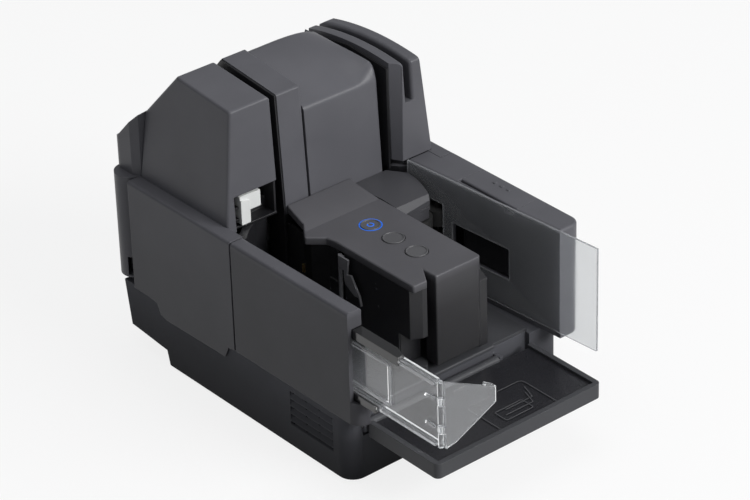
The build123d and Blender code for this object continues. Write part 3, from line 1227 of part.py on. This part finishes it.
with BuildPart() as entry_block:
    with BuildSketch(Plane.XY.offset(deck_top)) as entry_outer:
        add(outline(Plane.XY.offset(deck_top), entry_corners))
        offset(amount=-0.6, kind=Kind.INTERSECTION)
    extrude(entry_outer.sketch, amount=119 - deck_top)
    with BuildSketch(Plane.XY.offset(deck_top - 1)) as entry_core:
        add(outline(Plane.XY.offset(deck_top - 1), entry_corners))
        offset(amount=-3.0, kind=Kind.INTERSECTION)
    extrude(entry_core.sketch, amount=120, mode=Mode.SUBTRACT)
    bar(feed_roller[0] - 5, feed_roller[0] + 5, 4.5, 25, 63.5, 66)
    bar(feed_roller[0] - 5, feed_roller[0] + 5, 4.5, 25, 116, 118.5)
    bar(feed_roller[0] - 5, feed_roller[0] + 5, 24, rear - 127.4, 63.5, 66)
    bar(feed_roller[0] - 5, feed_roller[0] + 5, 24, rear - 127.4, 116, 118.5)
    for low, high in ((74.0, 86.0), (96.0, 108.0)):
        post(feed_roller[0], feed_roller[1], low - 1, high + 1, feed_radius + 0.7, Mode.SUBTRACT)
    post(feed_roller[0], feed_roller[1], 60, 119, 2.55, Mode.SUBTRACT)
entry_block.part.label = "entry_block"
export_step(entry_block.part, "parts/entry_block.step")

with BuildPart() as feed_wheel:
    post(feed_roller[0], feed_roller[1], 63.7, 118.3, 2.5)
    for low, high in ((74.0, 86.0), (96.0, 108.0)):
        post(feed_roller[0], feed_roller[1], low, high, feed_radius)
feed_wheel.part.label = "separation_roller"
export_step(feed_wheel.part, "parts/separation_roller.step")
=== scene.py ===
"""Looks of the cheque scanner: materials, camera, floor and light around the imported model."""
import json
import math
import bpy
from mathutils import Matrix, Vector


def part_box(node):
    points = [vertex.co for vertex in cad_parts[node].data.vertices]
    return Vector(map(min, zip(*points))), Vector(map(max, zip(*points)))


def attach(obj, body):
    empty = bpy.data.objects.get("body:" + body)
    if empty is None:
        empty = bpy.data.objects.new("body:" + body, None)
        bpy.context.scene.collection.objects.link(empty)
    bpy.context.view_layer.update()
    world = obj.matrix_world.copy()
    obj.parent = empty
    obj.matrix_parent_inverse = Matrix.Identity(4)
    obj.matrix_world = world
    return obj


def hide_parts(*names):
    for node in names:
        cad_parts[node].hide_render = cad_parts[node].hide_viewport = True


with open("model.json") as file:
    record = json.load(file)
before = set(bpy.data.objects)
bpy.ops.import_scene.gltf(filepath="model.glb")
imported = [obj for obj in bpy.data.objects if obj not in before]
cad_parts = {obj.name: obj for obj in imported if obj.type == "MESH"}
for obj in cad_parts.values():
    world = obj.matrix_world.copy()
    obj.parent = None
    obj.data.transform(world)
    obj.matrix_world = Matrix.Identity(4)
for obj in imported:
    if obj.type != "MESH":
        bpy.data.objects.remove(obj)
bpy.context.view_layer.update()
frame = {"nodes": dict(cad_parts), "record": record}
nodes = frame["nodes"]
scene = bpy.context.scene
MM = 0.001


# ------------------------------------------------------------------ node helpers
def new_material(name):
    mat = bpy.data.materials.new(name)
    mat.use_nodes = True
    tree = mat.node_tree
    tree.nodes.clear()
    out = tree.nodes.new("ShaderNodeOutputMaterial")
    bsdf = tree.nodes.new("ShaderNodeBsdfPrincipled")
    tree.links.new(bsdf.outputs["BSDF"], out.inputs["Surface"])
    return mat, tree, bsdf


def feed(tree, holder, inputs):
    """Set a node's inputs: an output socket is linked, anything else is the input's value."""
    for key, value in inputs.items():
        if isinstance(value, bpy.types.NodeSocket):
            tree.links.new(value, holder.inputs[key])
        else:
            holder.inputs[key].default_value = value


def add(tree, kind, inputs=None, **settings):
    made = tree.nodes.new(kind)
    for key, value in settings.items():
        setattr(made, key, value)
    feed(tree, made, inputs or {})
    return made


def noise(tree, scale, detail, rough):
    coord = add(tree, "ShaderNodeTexCoord")
    return add(tree, "ShaderNodeTexNoise", {"Vector": coord.outputs["Object"], "Scale": scale,
                                            "Detail": detail, "Roughness": rough}).outputs["Fac"]


def remap(tree, value, low, high, start=0.3, end=0.7):
    return add(tree, "ShaderNodeMapRange", {"Value": value, "From Min": start, "From Max": end,
                                            "To Min": low, "To Max": high}).outputs["Result"]


def maths(tree, operation, first, second):
    return add(tree, "ShaderNodeMath", {0: first, 1: second}, operation=operation).outputs[0]


def mix_colour(tree, factor, first, second, blend="MIX"):
    return add(tree, "ShaderNodeMix", {0: factor, 6: first, 7: second}, data_type="RGBA",
               blend_type=blend).outputs[2]


def mix_shader(tree, factor, first, second):
    return add(tree, "ShaderNodeMixShader", {0: factor, 1: first, 2: second}).outputs["Shader"]


def opaque(colour):
    return (*colour, 1)


def scaled(colour, factor):
    return opaque(min(1.0, channel * factor) for channel in colour)


def fade_with_height(tree, stops):
    """Factor that changes with the height, given as (height, factor) stops from low to high."""
    coord = add(tree, "ShaderNodeTexCoord")
    split = add(tree, "ShaderNodeSeparateXYZ", {"Vector": coord.outputs["Object"]})
    low, high = stops[0][0], stops[-1][0]
    ramp = add(tree, "ShaderNodeValToRGB", {"Fac": remap(tree, split.outputs["Z"], 0, 1, low, high)})
    elements = ramp.color_ramp.elements
    for index, (height, factor) in enumerate(stops):
        place = (height - low) / (high - low)
        if index in (0, len(stops) - 1):
            element = elements[0 if index == 0 else -1]
            element.position = place
        else:
            element = elements.new(place)
        element.color = (factor, factor, factor, 1)
    return ramp.outputs["Color"]


def edge_mask(tree, radius):
    """1 along edges, 0 on flats, and the softened normal."""
    bevel = add(tree, "ShaderNodeBevel", {"Radius": radius}, samples=6)
    geometry = add(tree, "ShaderNodeNewGeometry")
    dot = add(tree, "ShaderNodeVectorMath", {0: bevel.outputs["Normal"], 1: geometry.outputs["Normal"]},
              operation="DOT_PRODUCT")
    return remap(tree, dot.outputs["Value"], 1.0, 0.0, 0.85, 0.995), bevel.outputs["Normal"]


# ------------------------------------------------------------------ kinds of material
def plastic(name, colour, rough=0.5, grain=1500.0, grain_depth=0.00003, bump=0.35, edge_highlight=0.25,
            specular=0.5, coat=0.0, painted_shade_by_height=None):
    """Moulded plastic with a spark-eroded grain, soft edges, a painted highlight that lightens its edges and
    corners, and, where height stops are given, painted shade that darkens it towards the bottom.
    """
    spread = 0.08
    edge_radius = 0.6 * MM
    mat, tree, bsdf = new_material(name)
    fine = noise(tree, grain, 3.0, 0.6)
    broad = noise(tree, 22.0, 3.0, 0.55)
    edge_highlight_mask, normal = edge_mask(tree, edge_radius)
    shade = mix_colour(tree, remap(tree, broad, 0, 1), scaled(colour, 1 - spread), scaled(colour, 1 + spread))
    # painted highlight: along edges and corners the colour is lightened towards this paler tone, as far as
    # the edge factor and the highlight amount say
    highlight_colour = opaque(min(1.0, channel * 1.8 + 0.02) for channel in colour)
    shade = mix_colour(tree, maths(tree, "MULTIPLY", edge_highlight_mask, edge_highlight), shade, highlight_colour)
    # painted shade: the colour is multiplied by a factor that follows the height, darker towards the bottom
    if painted_shade_by_height:
        shade = mix_colour(tree, 1.0, shade, fade_with_height(tree, painted_shade_by_height), "MULTIPLY")
    surface = add(tree, "ShaderNodeBump", {"Strength": bump, "Distance": grain_depth, "Height": fine,
                                           "Normal": normal})
    feed(tree, bsdf, {"Base Color": shade, "Roughness": remap(tree, fine, rough - 0.05, rough + 0.06),
                      "Normal": surface.outputs["Normal"], "Specular IOR Level": specular,
                      "Coat Weight": coat, "Coat Roughness": 0.15})
    return mat


def metal(name, colour, rough=0.3):
    """Metal with fine lines left by its machining."""
    mat, tree, bsdf = new_material(name)
    coord = add(tree, "ShaderNodeTexCoord")
    stretched = add(tree, "ShaderNodeMapping", {"Vector": coord.outputs["Object"], "Scale": (900, 30, 30)})
    lines = add(tree, "ShaderNodeTexNoise", {"Vector": stretched.outputs["Vector"], "Scale": 1.0,
                                             "Detail": 3.0}).outputs["Fac"]
    surface = add(tree, "ShaderNodeBump", {"Strength": 0.15, "Distance": 0.00002, "Height": lines})
    tint = mix_colour(tree, remap(tree, lines, 0, 1), scaled(colour, 0.85), opaque(colour))
    feed(tree, bsdf, {"Base Color": tint, "Roughness": remap(tree, lines, rough - 0.06, rough + 0.1),
                      "Metallic": 1.0, "Normal": surface.outputs["Normal"]})
    return mat


def clear_plastic(name, tint, rough, milk):
    """Clear moulded plastic that lets lamps shine through; milk adds a whitish veil."""
    mat, tree, bsdf = new_material(name)
    broad = noise(tree, 25.0, 1.0, 0.5)
    colour = mix_colour(tree, remap(tree, broad, 0, 1), scaled(tint, 0.97), opaque(tint))
    feed(tree, bsdf, {"Base Color": colour, "Roughness": remap(tree, broad, rough, rough + 0.03),
                      "Transmission Weight": 1.0, "IOR": 1.49})
    veil = add(tree, "ShaderNodeBsdfDiffuse", {"Color": (0.85, 0.87, 0.9, 1)})
    veiled = mix_shader(tree, milk, bsdf.outputs["BSDF"], veil.outputs["BSDF"])
    passing = add(tree, "ShaderNodeBsdfTransparent",
                  {"Color": opaque(0.9 + 0.1 * channel for channel in tint)})
    path = add(tree, "ShaderNodeLightPath")
    feed(tree, tree.nodes["Material Output"],
         {"Surface": mix_shader(tree, path.outputs["Is Shadow Ray"], veiled, passing.outputs["BSDF"])})
    return mat


def glow(name, colour, strength):
    """Lit plastic with a slightly uneven light."""
    mat, tree, bsdf = new_material(name)
    soft = noise(tree, 300.0, 1.0, 0.5)
    tint = mix_colour(tree, remap(tree, soft, 0, 1), scaled(colour, 0.85), opaque(colour))
    feed(tree, bsdf, {"Base Color": tint, "Emission Color": tint, "Emission Strength": strength,
                      "Roughness": 0.35})
    return mat


def lighten_ledge(mat, colour, low, high):
    """Level faces between these two heights take another colour."""
    tree = mat.node_tree
    bsdf = next(node for node in tree.nodes if node.type == "BSDF_PRINCIPLED")
    geometry = add(tree, "ShaderNodeNewGeometry")
    facing = add(tree, "ShaderNodeSeparateXYZ", {"Vector": geometry.outputs["True Normal"]})
    level = remap(tree, facing.outputs["Z"], 0, 1, 0.8, 0.81)
    step = 0.2 * MM
    band = fade_with_height(tree, [(low - step, 0.0), (low, 1.0), (high, 1.0), (high + step, 0.0)])
    base = bsdf.inputs["Base Color"].links[0].from_socket
    feed(tree, bsdf, {"Base Color": mix_colour(tree, maths(tree, "MULTIPLY", level, band), base,
                                               opaque(colour))})


# ------------------------------------------------------------------ materials of the pieces
COVER_GREY = (0.094, 0.094, 0.105)
LEDGE_GREY = (0.094, 0.094, 0.104)
INNER_BLACK = (0.012, 0.012, 0.014)
materials = {
    # grey mouldings, where a list of (height, factor) stops paints shade on them, darker towards the bottom
    "cover": plastic("cover_plastic", COVER_GREY, rough=0.38, specular=0.24),
    "wall": plastic("wall_plastic", COVER_GREY, rough=0.4, specular=0.16,
                    painted_shade_by_height=[(0.05, 0.5), (0.10, 0.6), (0.132, 0.72), (0.136, 1.0)]),
    "side": plastic("side_plastic", COVER_GREY, rough=0.4, specular=0.16,
                    painted_shade_by_height=[(0.05, 0.62), (0.10, 0.85), (0.132, 1.0), (0.136, 1.0)]),
    "base": plastic("base_plastic", (0.064, 0.065, 0.073), rough=0.6, specular=0.08,
                    painted_shade_by_height=[(0.0, 0.3), (0.03, 0.75), (0.05, 1.2), (0.06, 1.2)]),
    "entry": plastic("entry_plastic", (0.055, 0.055, 0.061), rough=0.4, specular=0.3),
    "panel": plastic("panel_plastic", (0.083, 0.082, 0.090), rough=0.4, specular=0.3,
                     painted_shade_by_height=[(0.05, 0.18), (0.10, 0.26), (0.1215, 0.55), (0.1225, 0.62), (0.1272, 1.0)]),
    "plate": plastic("plate_plastic", (0.014, 0.014, 0.017), rough=0.3, specular=0.7, bump=0.15),
    "tray": plastic("tray_plastic", (0.047, 0.048, 0.053), rough=0.5, specular=0.3),
    "button": plastic("button_plastic", (0.085, 0.085, 0.09), rough=0.38, edge_highlight=0.5),
    "lever": plastic("lever_plastic", (0.16, 0.16, 0.17), rough=0.4),
    "sign": plastic("sign_grey", (0.075, 0.076, 0.082), rough=0.5, bump=0.1, edge_highlight=0.0),
    # black, white and clear mouldings
    "inner": plastic("inner_plastic", INNER_BLACK, rough=0.42, edge_highlight=0.35),
    "right_guide": plastic("right_guide_plastic", INNER_BLACK, rough=0.42, edge_highlight=0.35),
    "gloss_black": plastic("gloss_black_plastic", (0.010, 0.010, 0.011), rough=0.18, bump=0.1, coat=0.3),
    "white": plastic("white_plastic", (0.72, 0.73, 0.72), rough=0.4, edge_highlight=0.1),
    "clear": clear_plastic("clear_plastic", (0.97, 0.98, 0.985), rough=0.03, milk=0.06),
    "frosted_clear": clear_plastic("frosted_plastic", (0.95, 0.965, 0.975), rough=0.1, milk=0.14),
    "blue_light": glow("blue_light", (0.02, 0.13, 0.62), 0.55),
    # pieces held inside
    "rubber": plastic("roller_rubber", (0.02, 0.02, 0.02), rough=0.8, grain=700.0, grain_depth=0.0001),
    "steel": metal("turned_steel", (0.55, 0.55, 0.56)),
    "motor": metal("motor_case", (0.12, 0.12, 0.13), rough=0.4),
    "brass": metal("brass", (0.62, 0.42, 0.16), rough=0.25),
    "board": plastic("circuit_board", (0.012, 0.07, 0.03), rough=0.35, coat=0.5),
    "socket": metal("socket_metal", (0.5, 0.5, 0.5)),
    "sensor": plastic("sensor_glass", (0.012, 0.014, 0.018), rough=0.08, bump=0.0, coat=1.0),
}
lighten_ledge(materials["right_guide"], LEDGE_GREY, 0.128, 0.1335)

# these nodes don't take the material of their slot
special = {"right_inner_guide": "right_guide", "base_housing": "base", "control_cover": "panel",
           "left_front_wall": "wall", "left_side_cover": "side", "tray_plate": "plate",
           "entry_cover": "entry", "entry_block": "entry"}
for entry in frame["record"]["subparts"]:
    slots = nodes[entry["node"]].data.materials
    slots.clear()
    slots.append(materials[special.get(entry["node"], entry["material_slot"])])


def add_mesh(name, points, faces, material):
    """Object made of these points, in millimetres, and faces."""
    mesh = bpy.data.meshes.new(name)
    mesh.from_pydata([Vector(point) * MM for point in points], [], faces)
    mesh.validate()
    mesh.materials.append(material)
    obj = bpy.data.objects.new(name, mesh)
    scene.collection.objects.link(obj)
    return obj


# ------------------------------------------------------------------ centre cover, its top domed to the right
# sizes in millimetres; a pair is y and z
cover_low, cover_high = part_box("center_cover")
left_x, low_z = cover_low[0] / MM, cover_low[2] / MM
edge_x = 52.0              # right side of the cover
edge_z = 211.9             # its right edge runs level at this height
edge_radius = 2.6
edge_bulge = 0.7           # the right edge swells by this over the first edge_bulge_run behind the crease
edge_bulge_run = 40.0
edge_climb_run = 8.0       # behind the crease the right edge climbs to edge_z within this run
crease = (53.3, 200.6)     # between the front and the top
crease_reach = 3.0         # the rounding of the crease starts this far below it and ends as far behind it
front_slope = 0.058        # the front leans back by this
arch_rise = 0.5712         # slope of the top at the crease
arch_bend = 0.00345        # and how fast that slope is lost
dome_front_x = 34.0        # the fall to the right edge starts here at the crease,
dome_rear_x = 10.0         # and here from dome_run behind it
dome_run = 45.0
ridge = (113.0, 222.4)
ridge_blend = 3.0          # surfaces that differ by less than this run into each other at the ridge,
ridge_drop = 0.75          # which they lower by this
back_slope = 1.13
foot = (147.0, 184.0)      # here the slope behind the ridge grows flatter
foot_slope = 0.94
core_x, core_y, core_radius = 7.75, 116.0, 44.25   # round rear of the centre body
face_steps, crease_steps, top_steps, edge_steps = 26, 6, 60, 5


def share_of(value, length):
    """How much of the length the value has covered, from 0 to 1."""
    return min(max(value / length, 0.0), 1.0)


def cover_top(x, y):
    """Height of the cover's top: an arch from front to back that is drawn to a level right edge."""
    run = y - crease[0]
    arch = crease[1] + arch_rise * run - arch_bend * run * run
    edge = crease[1] + (edge_z - crease[1]) * (1 - (1 - share_of(run, edge_climb_run)) ** 2)
    start = dome_front_x - (dome_front_x - dome_rear_x) * min(run / dome_run, 1.0)
    pull = max(0.0, (x - start) / (edge_x - start)) ** 2
    top = arch + pull * (edge - arch)
    back = max(ridge[1] - back_slope * (y - ridge[0]), foot[1] - foot_slope * (y - foot[0]))
    nearness = max(0.0, 1 - abs(top - back) / ridge_blend)
    return min(top, back) - ridge_drop * nearness * nearness


def cover_column(x):
    """Outline of the cover, as y and z, from its front foot over the top to its rear foot at this x."""
    round_rear = core_y + math.sqrt(max(0.0, core_radius ** 2 - (min(x, edge_x) - core_x) ** 2))
    rear = min(cover_high[1] / MM, round_rear)
    start = (crease[0] - crease_reach * front_slope, crease[1] - crease_reach)
    end_y = crease[0] + crease_reach
    end = (end_y, cover_top(x, end_y))
    points = [(start[0] - front_slope * (start[1] - z), z) for z in (low_z, (low_z + start[1]) / 2)]
    for step in range(crease_steps + 1):
        t = step / crease_steps
        points.append(tuple((1 - t) ** 2 * a + 2 * t * (1 - t) * b + t * t * c
                            for a, b, c in zip(start, crease, end)))
    for step in range(1, top_steps + 1):
        y = end_y + (rear - end_y) * step / top_steps
        points.append((y, cover_top(x, y)))
    points.append((rear, low_z))
    return points


def rounded_column(inner_x, angle):
    """Outline at this angle of the rounding between the cover's faces and its right side."""
    inner, outer = cover_column(inner_x), cover_column(edge_x)
    inset = edge_radius * (1 - math.cos(angle))
    out = math.sin(angle)
    column = []
    for row, ((y, z), (_, outer_z)) in enumerate(zip(inner, outer)):
        # the rounding turns from the front, at the second row, to the top, after the crease
        turn = math.radians(90) * share_of(row - 1, crease_steps + 3)
        width = edge_radius
        if row > 2:
            width += edge_bulge * math.sin(math.pi * share_of(y - crease[0], edge_bulge_run))
        height = z
        if row < len(inner) - 1:
            height += (outer_z - z) * out * (row > 2) - inset * math.sin(turn)
        column.append((inner_x + width * out, y + inset * math.cos(turn), height))
    return column


def domed_cover():
    inner_x = edge_x - edge_radius
    columns = []
    for step in range(face_steps + 1):
        x = left_x + (inner_x - left_x) * step / face_steps
        columns.append([(x, y, z) for y, z in cover_column(x)])
    columns += [rounded_column(inner_x, math.radians(90 * step / edge_steps))
                for step in range(1, edge_steps + 1)]
    rows = len(columns[0])
    starts = [rows * index for index in range(len(columns))]
    faces = []
    for here, beside in zip(starts, starts[1:]):
        faces += [(here + row, beside + row, beside + row + 1, here + row + 1) for row in range(rows - 1)]
    faces += [(beside, here, beside - 1, beside + rows - 1) for here, beside in zip(starts, starts[1:])]
    faces.append(tuple(range(rows)))
    faces.append(tuple(reversed(range(starts[-1], starts[-1] + rows))))
    obj = add_mesh("center_cover_top", [point for column in columns for point in column], faces,
                   materials["cover"])
    for polygon in obj.data.polygons:
        polygon.use_smooth = True
    obj.data.set_sharp_from_angle(angle=math.radians(32))
    return obj


cover = domed_cover()
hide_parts("center_cover")
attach(cover, "machine")


# ------------------------------------------------------------------ the tray's sign, laid on its plate
def strokes(name, paths, z, width, material, height=0.12):
    """Flat lines along the given (x, y) paths, in millimetres; a closed path repeats its first point."""
    points, faces = [], []
    for path in paths:
        closed = path[0] == path[-1]
        corners = [Vector(point) for point in (path[:-1] if closed else path)]
        count = len(corners)
        start = len(points)
        for index, here in enumerate(corners):
            before = corners[index - 1] if index or closed else here
            after = corners[(index + 1) % count] if index < count - 1 or closed else here
            along = ((here - before).normalized() + (after - here).normalized()).normalized()
            side = Vector((-along.y, along.x)) * width / 2
            for offset, level in ((side, 0), (side, height), (-side, height), (-side, 0)):
                points.append((*(here + offset), z + level))
        for index in range(count if closed else count - 1):
            a, b = start + 4 * index, start + 4 * ((index + 1) % count)
            faces += [(a + k, a + (k + 1) % 4, b + (k + 1) % 4, b + k) for k in range(4)]
        if not closed:
            last = start + 4 * (count - 1)
            faces += [(start, start + 1, start + 2, start + 3), (last + 3, last + 2, last + 1, last)]
    return add_mesh(name, points, faces, material)


def rounded(x0, y0, x1, y1, radius, steps=5):
    """Closed path of a rectangle with round corners."""
    path = []
    for x, y, turn in ((x1 - radius, y1 - radius, 0), (x0 + radius, y1 - radius, 90),
                       (x0 + radius, y0 + radius, 180), (x1 - radius, y0 + radius, 270)):
        for step in range(steps + 1):
            angle = math.radians(turn + 90 * step / steps)
            path.append((x + radius * math.cos(angle), y + radius * math.sin(angle)))
    return path + path[:1]


def sheet_behind(index):
    """Two visible sides of a sheet that lies behind the front one of the stack."""
    x, y = 4 * index, 5 * index
    return [(x - 12, y - 148), (x + 12, y - 148), (x + 16, y - 136)]


sign_frame = rounded(-22, -156, 28, -118, 4)
front_sheet = rounded(-12, -148, 12, -136, 1.5)
arrow = [[(-16, -126), (-16, -132)], [(-13, -129), (-16, -132), (-19, -129)]]
plate_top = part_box("tray_plate")[1].z / MM
sunk = 0.02
sign = strokes("tray_sign", [sign_frame, front_sheet, sheet_behind(1), sheet_behind(2), *arrow],
               plate_top - sunk, 0.7, materials["sign"])
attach(sign, "tray")

# ------------------------------------------------------------------ camera at the photo's angle
azimuth, elevation, roll = (math.radians(angle) for angle in (-39.34, 30.59, -1.76))
camera_place = (-1.2226, -1.4935, 1.2485)
focal_length = 157.96
back = Vector((math.sin(azimuth) * math.cos(elevation), -math.cos(azimuth) * math.cos(elevation),
               math.sin(elevation)))
right = (-back).cross(Vector((0, 0, 1))).normalized()
up = right.cross(-back)
right, up = (math.cos(roll) * right + math.sin(roll) * up, -math.sin(roll) * right + math.cos(roll) * up)
camera_data = bpy.data.cameras.new("camera")
camera_data.sensor_width = 36.0
camera_data.lens = focal_length
camera_data.clip_end = 50.0
camera = bpy.data.objects.new("camera", camera_data)
scene.collection.objects.link(camera)
camera.matrix_world = Matrix.Translation(camera_place) @ Matrix((right, up, back)).transposed().to_4x4()
scene.camera = camera

# ------------------------------------------------------------------ floor: white, with the shadow
bpy.ops.mesh.primitive_plane_add(size=14.0, location=(0, 0, 0))
floor = bpy.context.object
floor.name = "floor"
mat, tree, bsdf = new_material("floor_white")
feed(tree, bsdf, {"Roughness": 0.8, "Base Color": (0.32, 0.32, 0.32, 1)})
path = add(tree, "ShaderNodeLightPath")
seen = maths(tree, "MAXIMUM", path.outputs["Is Camera Ray"], path.outputs["Is Glossy Ray"])
seen = maths(tree, "MAXIMUM", seen, path.outputs["Is Transmission Ray"])
white = add(tree, "ShaderNodeEmission", {"Strength": 1.38})
shown = mix_shader(tree, maths(tree, "MULTIPLY", seen, 0.6), bsdf.outputs["BSDF"],
                   white.outputs["Emission"])
feed(tree, tree.nodes["Material Output"], {"Surface": shown})
floor.data.materials.append(mat)

# ------------------------------------------------------------------ world: dim light, seen as white
world = bpy.data.worlds.new("studio")
scene.world = world
world.use_nodes = True
tree = world.node_tree
tree.nodes.clear()
ambient = add(tree, "ShaderNodeBackground", {"Color": (0.95, 0.97, 1.0, 1), "Strength": 0.29})
white = add(tree, "ShaderNodeBackground", {"Color": (1, 1, 1, 1), "Strength": 1.0})
path = add(tree, "ShaderNodeLightPath")
shown = mix_shader(tree, path.outputs["Is Camera Ray"], ambient.outputs["Background"],
                   white.outputs["Background"])
add(tree, "ShaderNodeOutputWorld", {"Surface": shown})


# ------------------------------------------------------------------ lamps
def softbox(name, place, size, power):
    """Rectangular lamp that points at the middle of the scanner."""
    aim = Vector((0, 0, 0.1))
    data = bpy.data.lights.new(name, "AREA")
    data.shape = "RECTANGLE"
    data.size, data.size_y = size
    data.energy = power
    lamp = bpy.data.objects.new(name, data)
    scene.collection.objects.link(lamp)
    lamp.location = place
    lamp.rotation_euler = (aim - Vector(place)).to_track_quat("-Z", "Y").to_euler()


softbox("key", (0.7, -2.2, 1.5), (1.4, 1.0), 56)
softbox("crease_light", (1.55, -1.95, 1.5), (0.4, 0.4), 13)
softbox("top", (0.1, 0.3, 2.2), (1.6, 1.6), 13)

scene.view_settings.view_transform = "Standard"
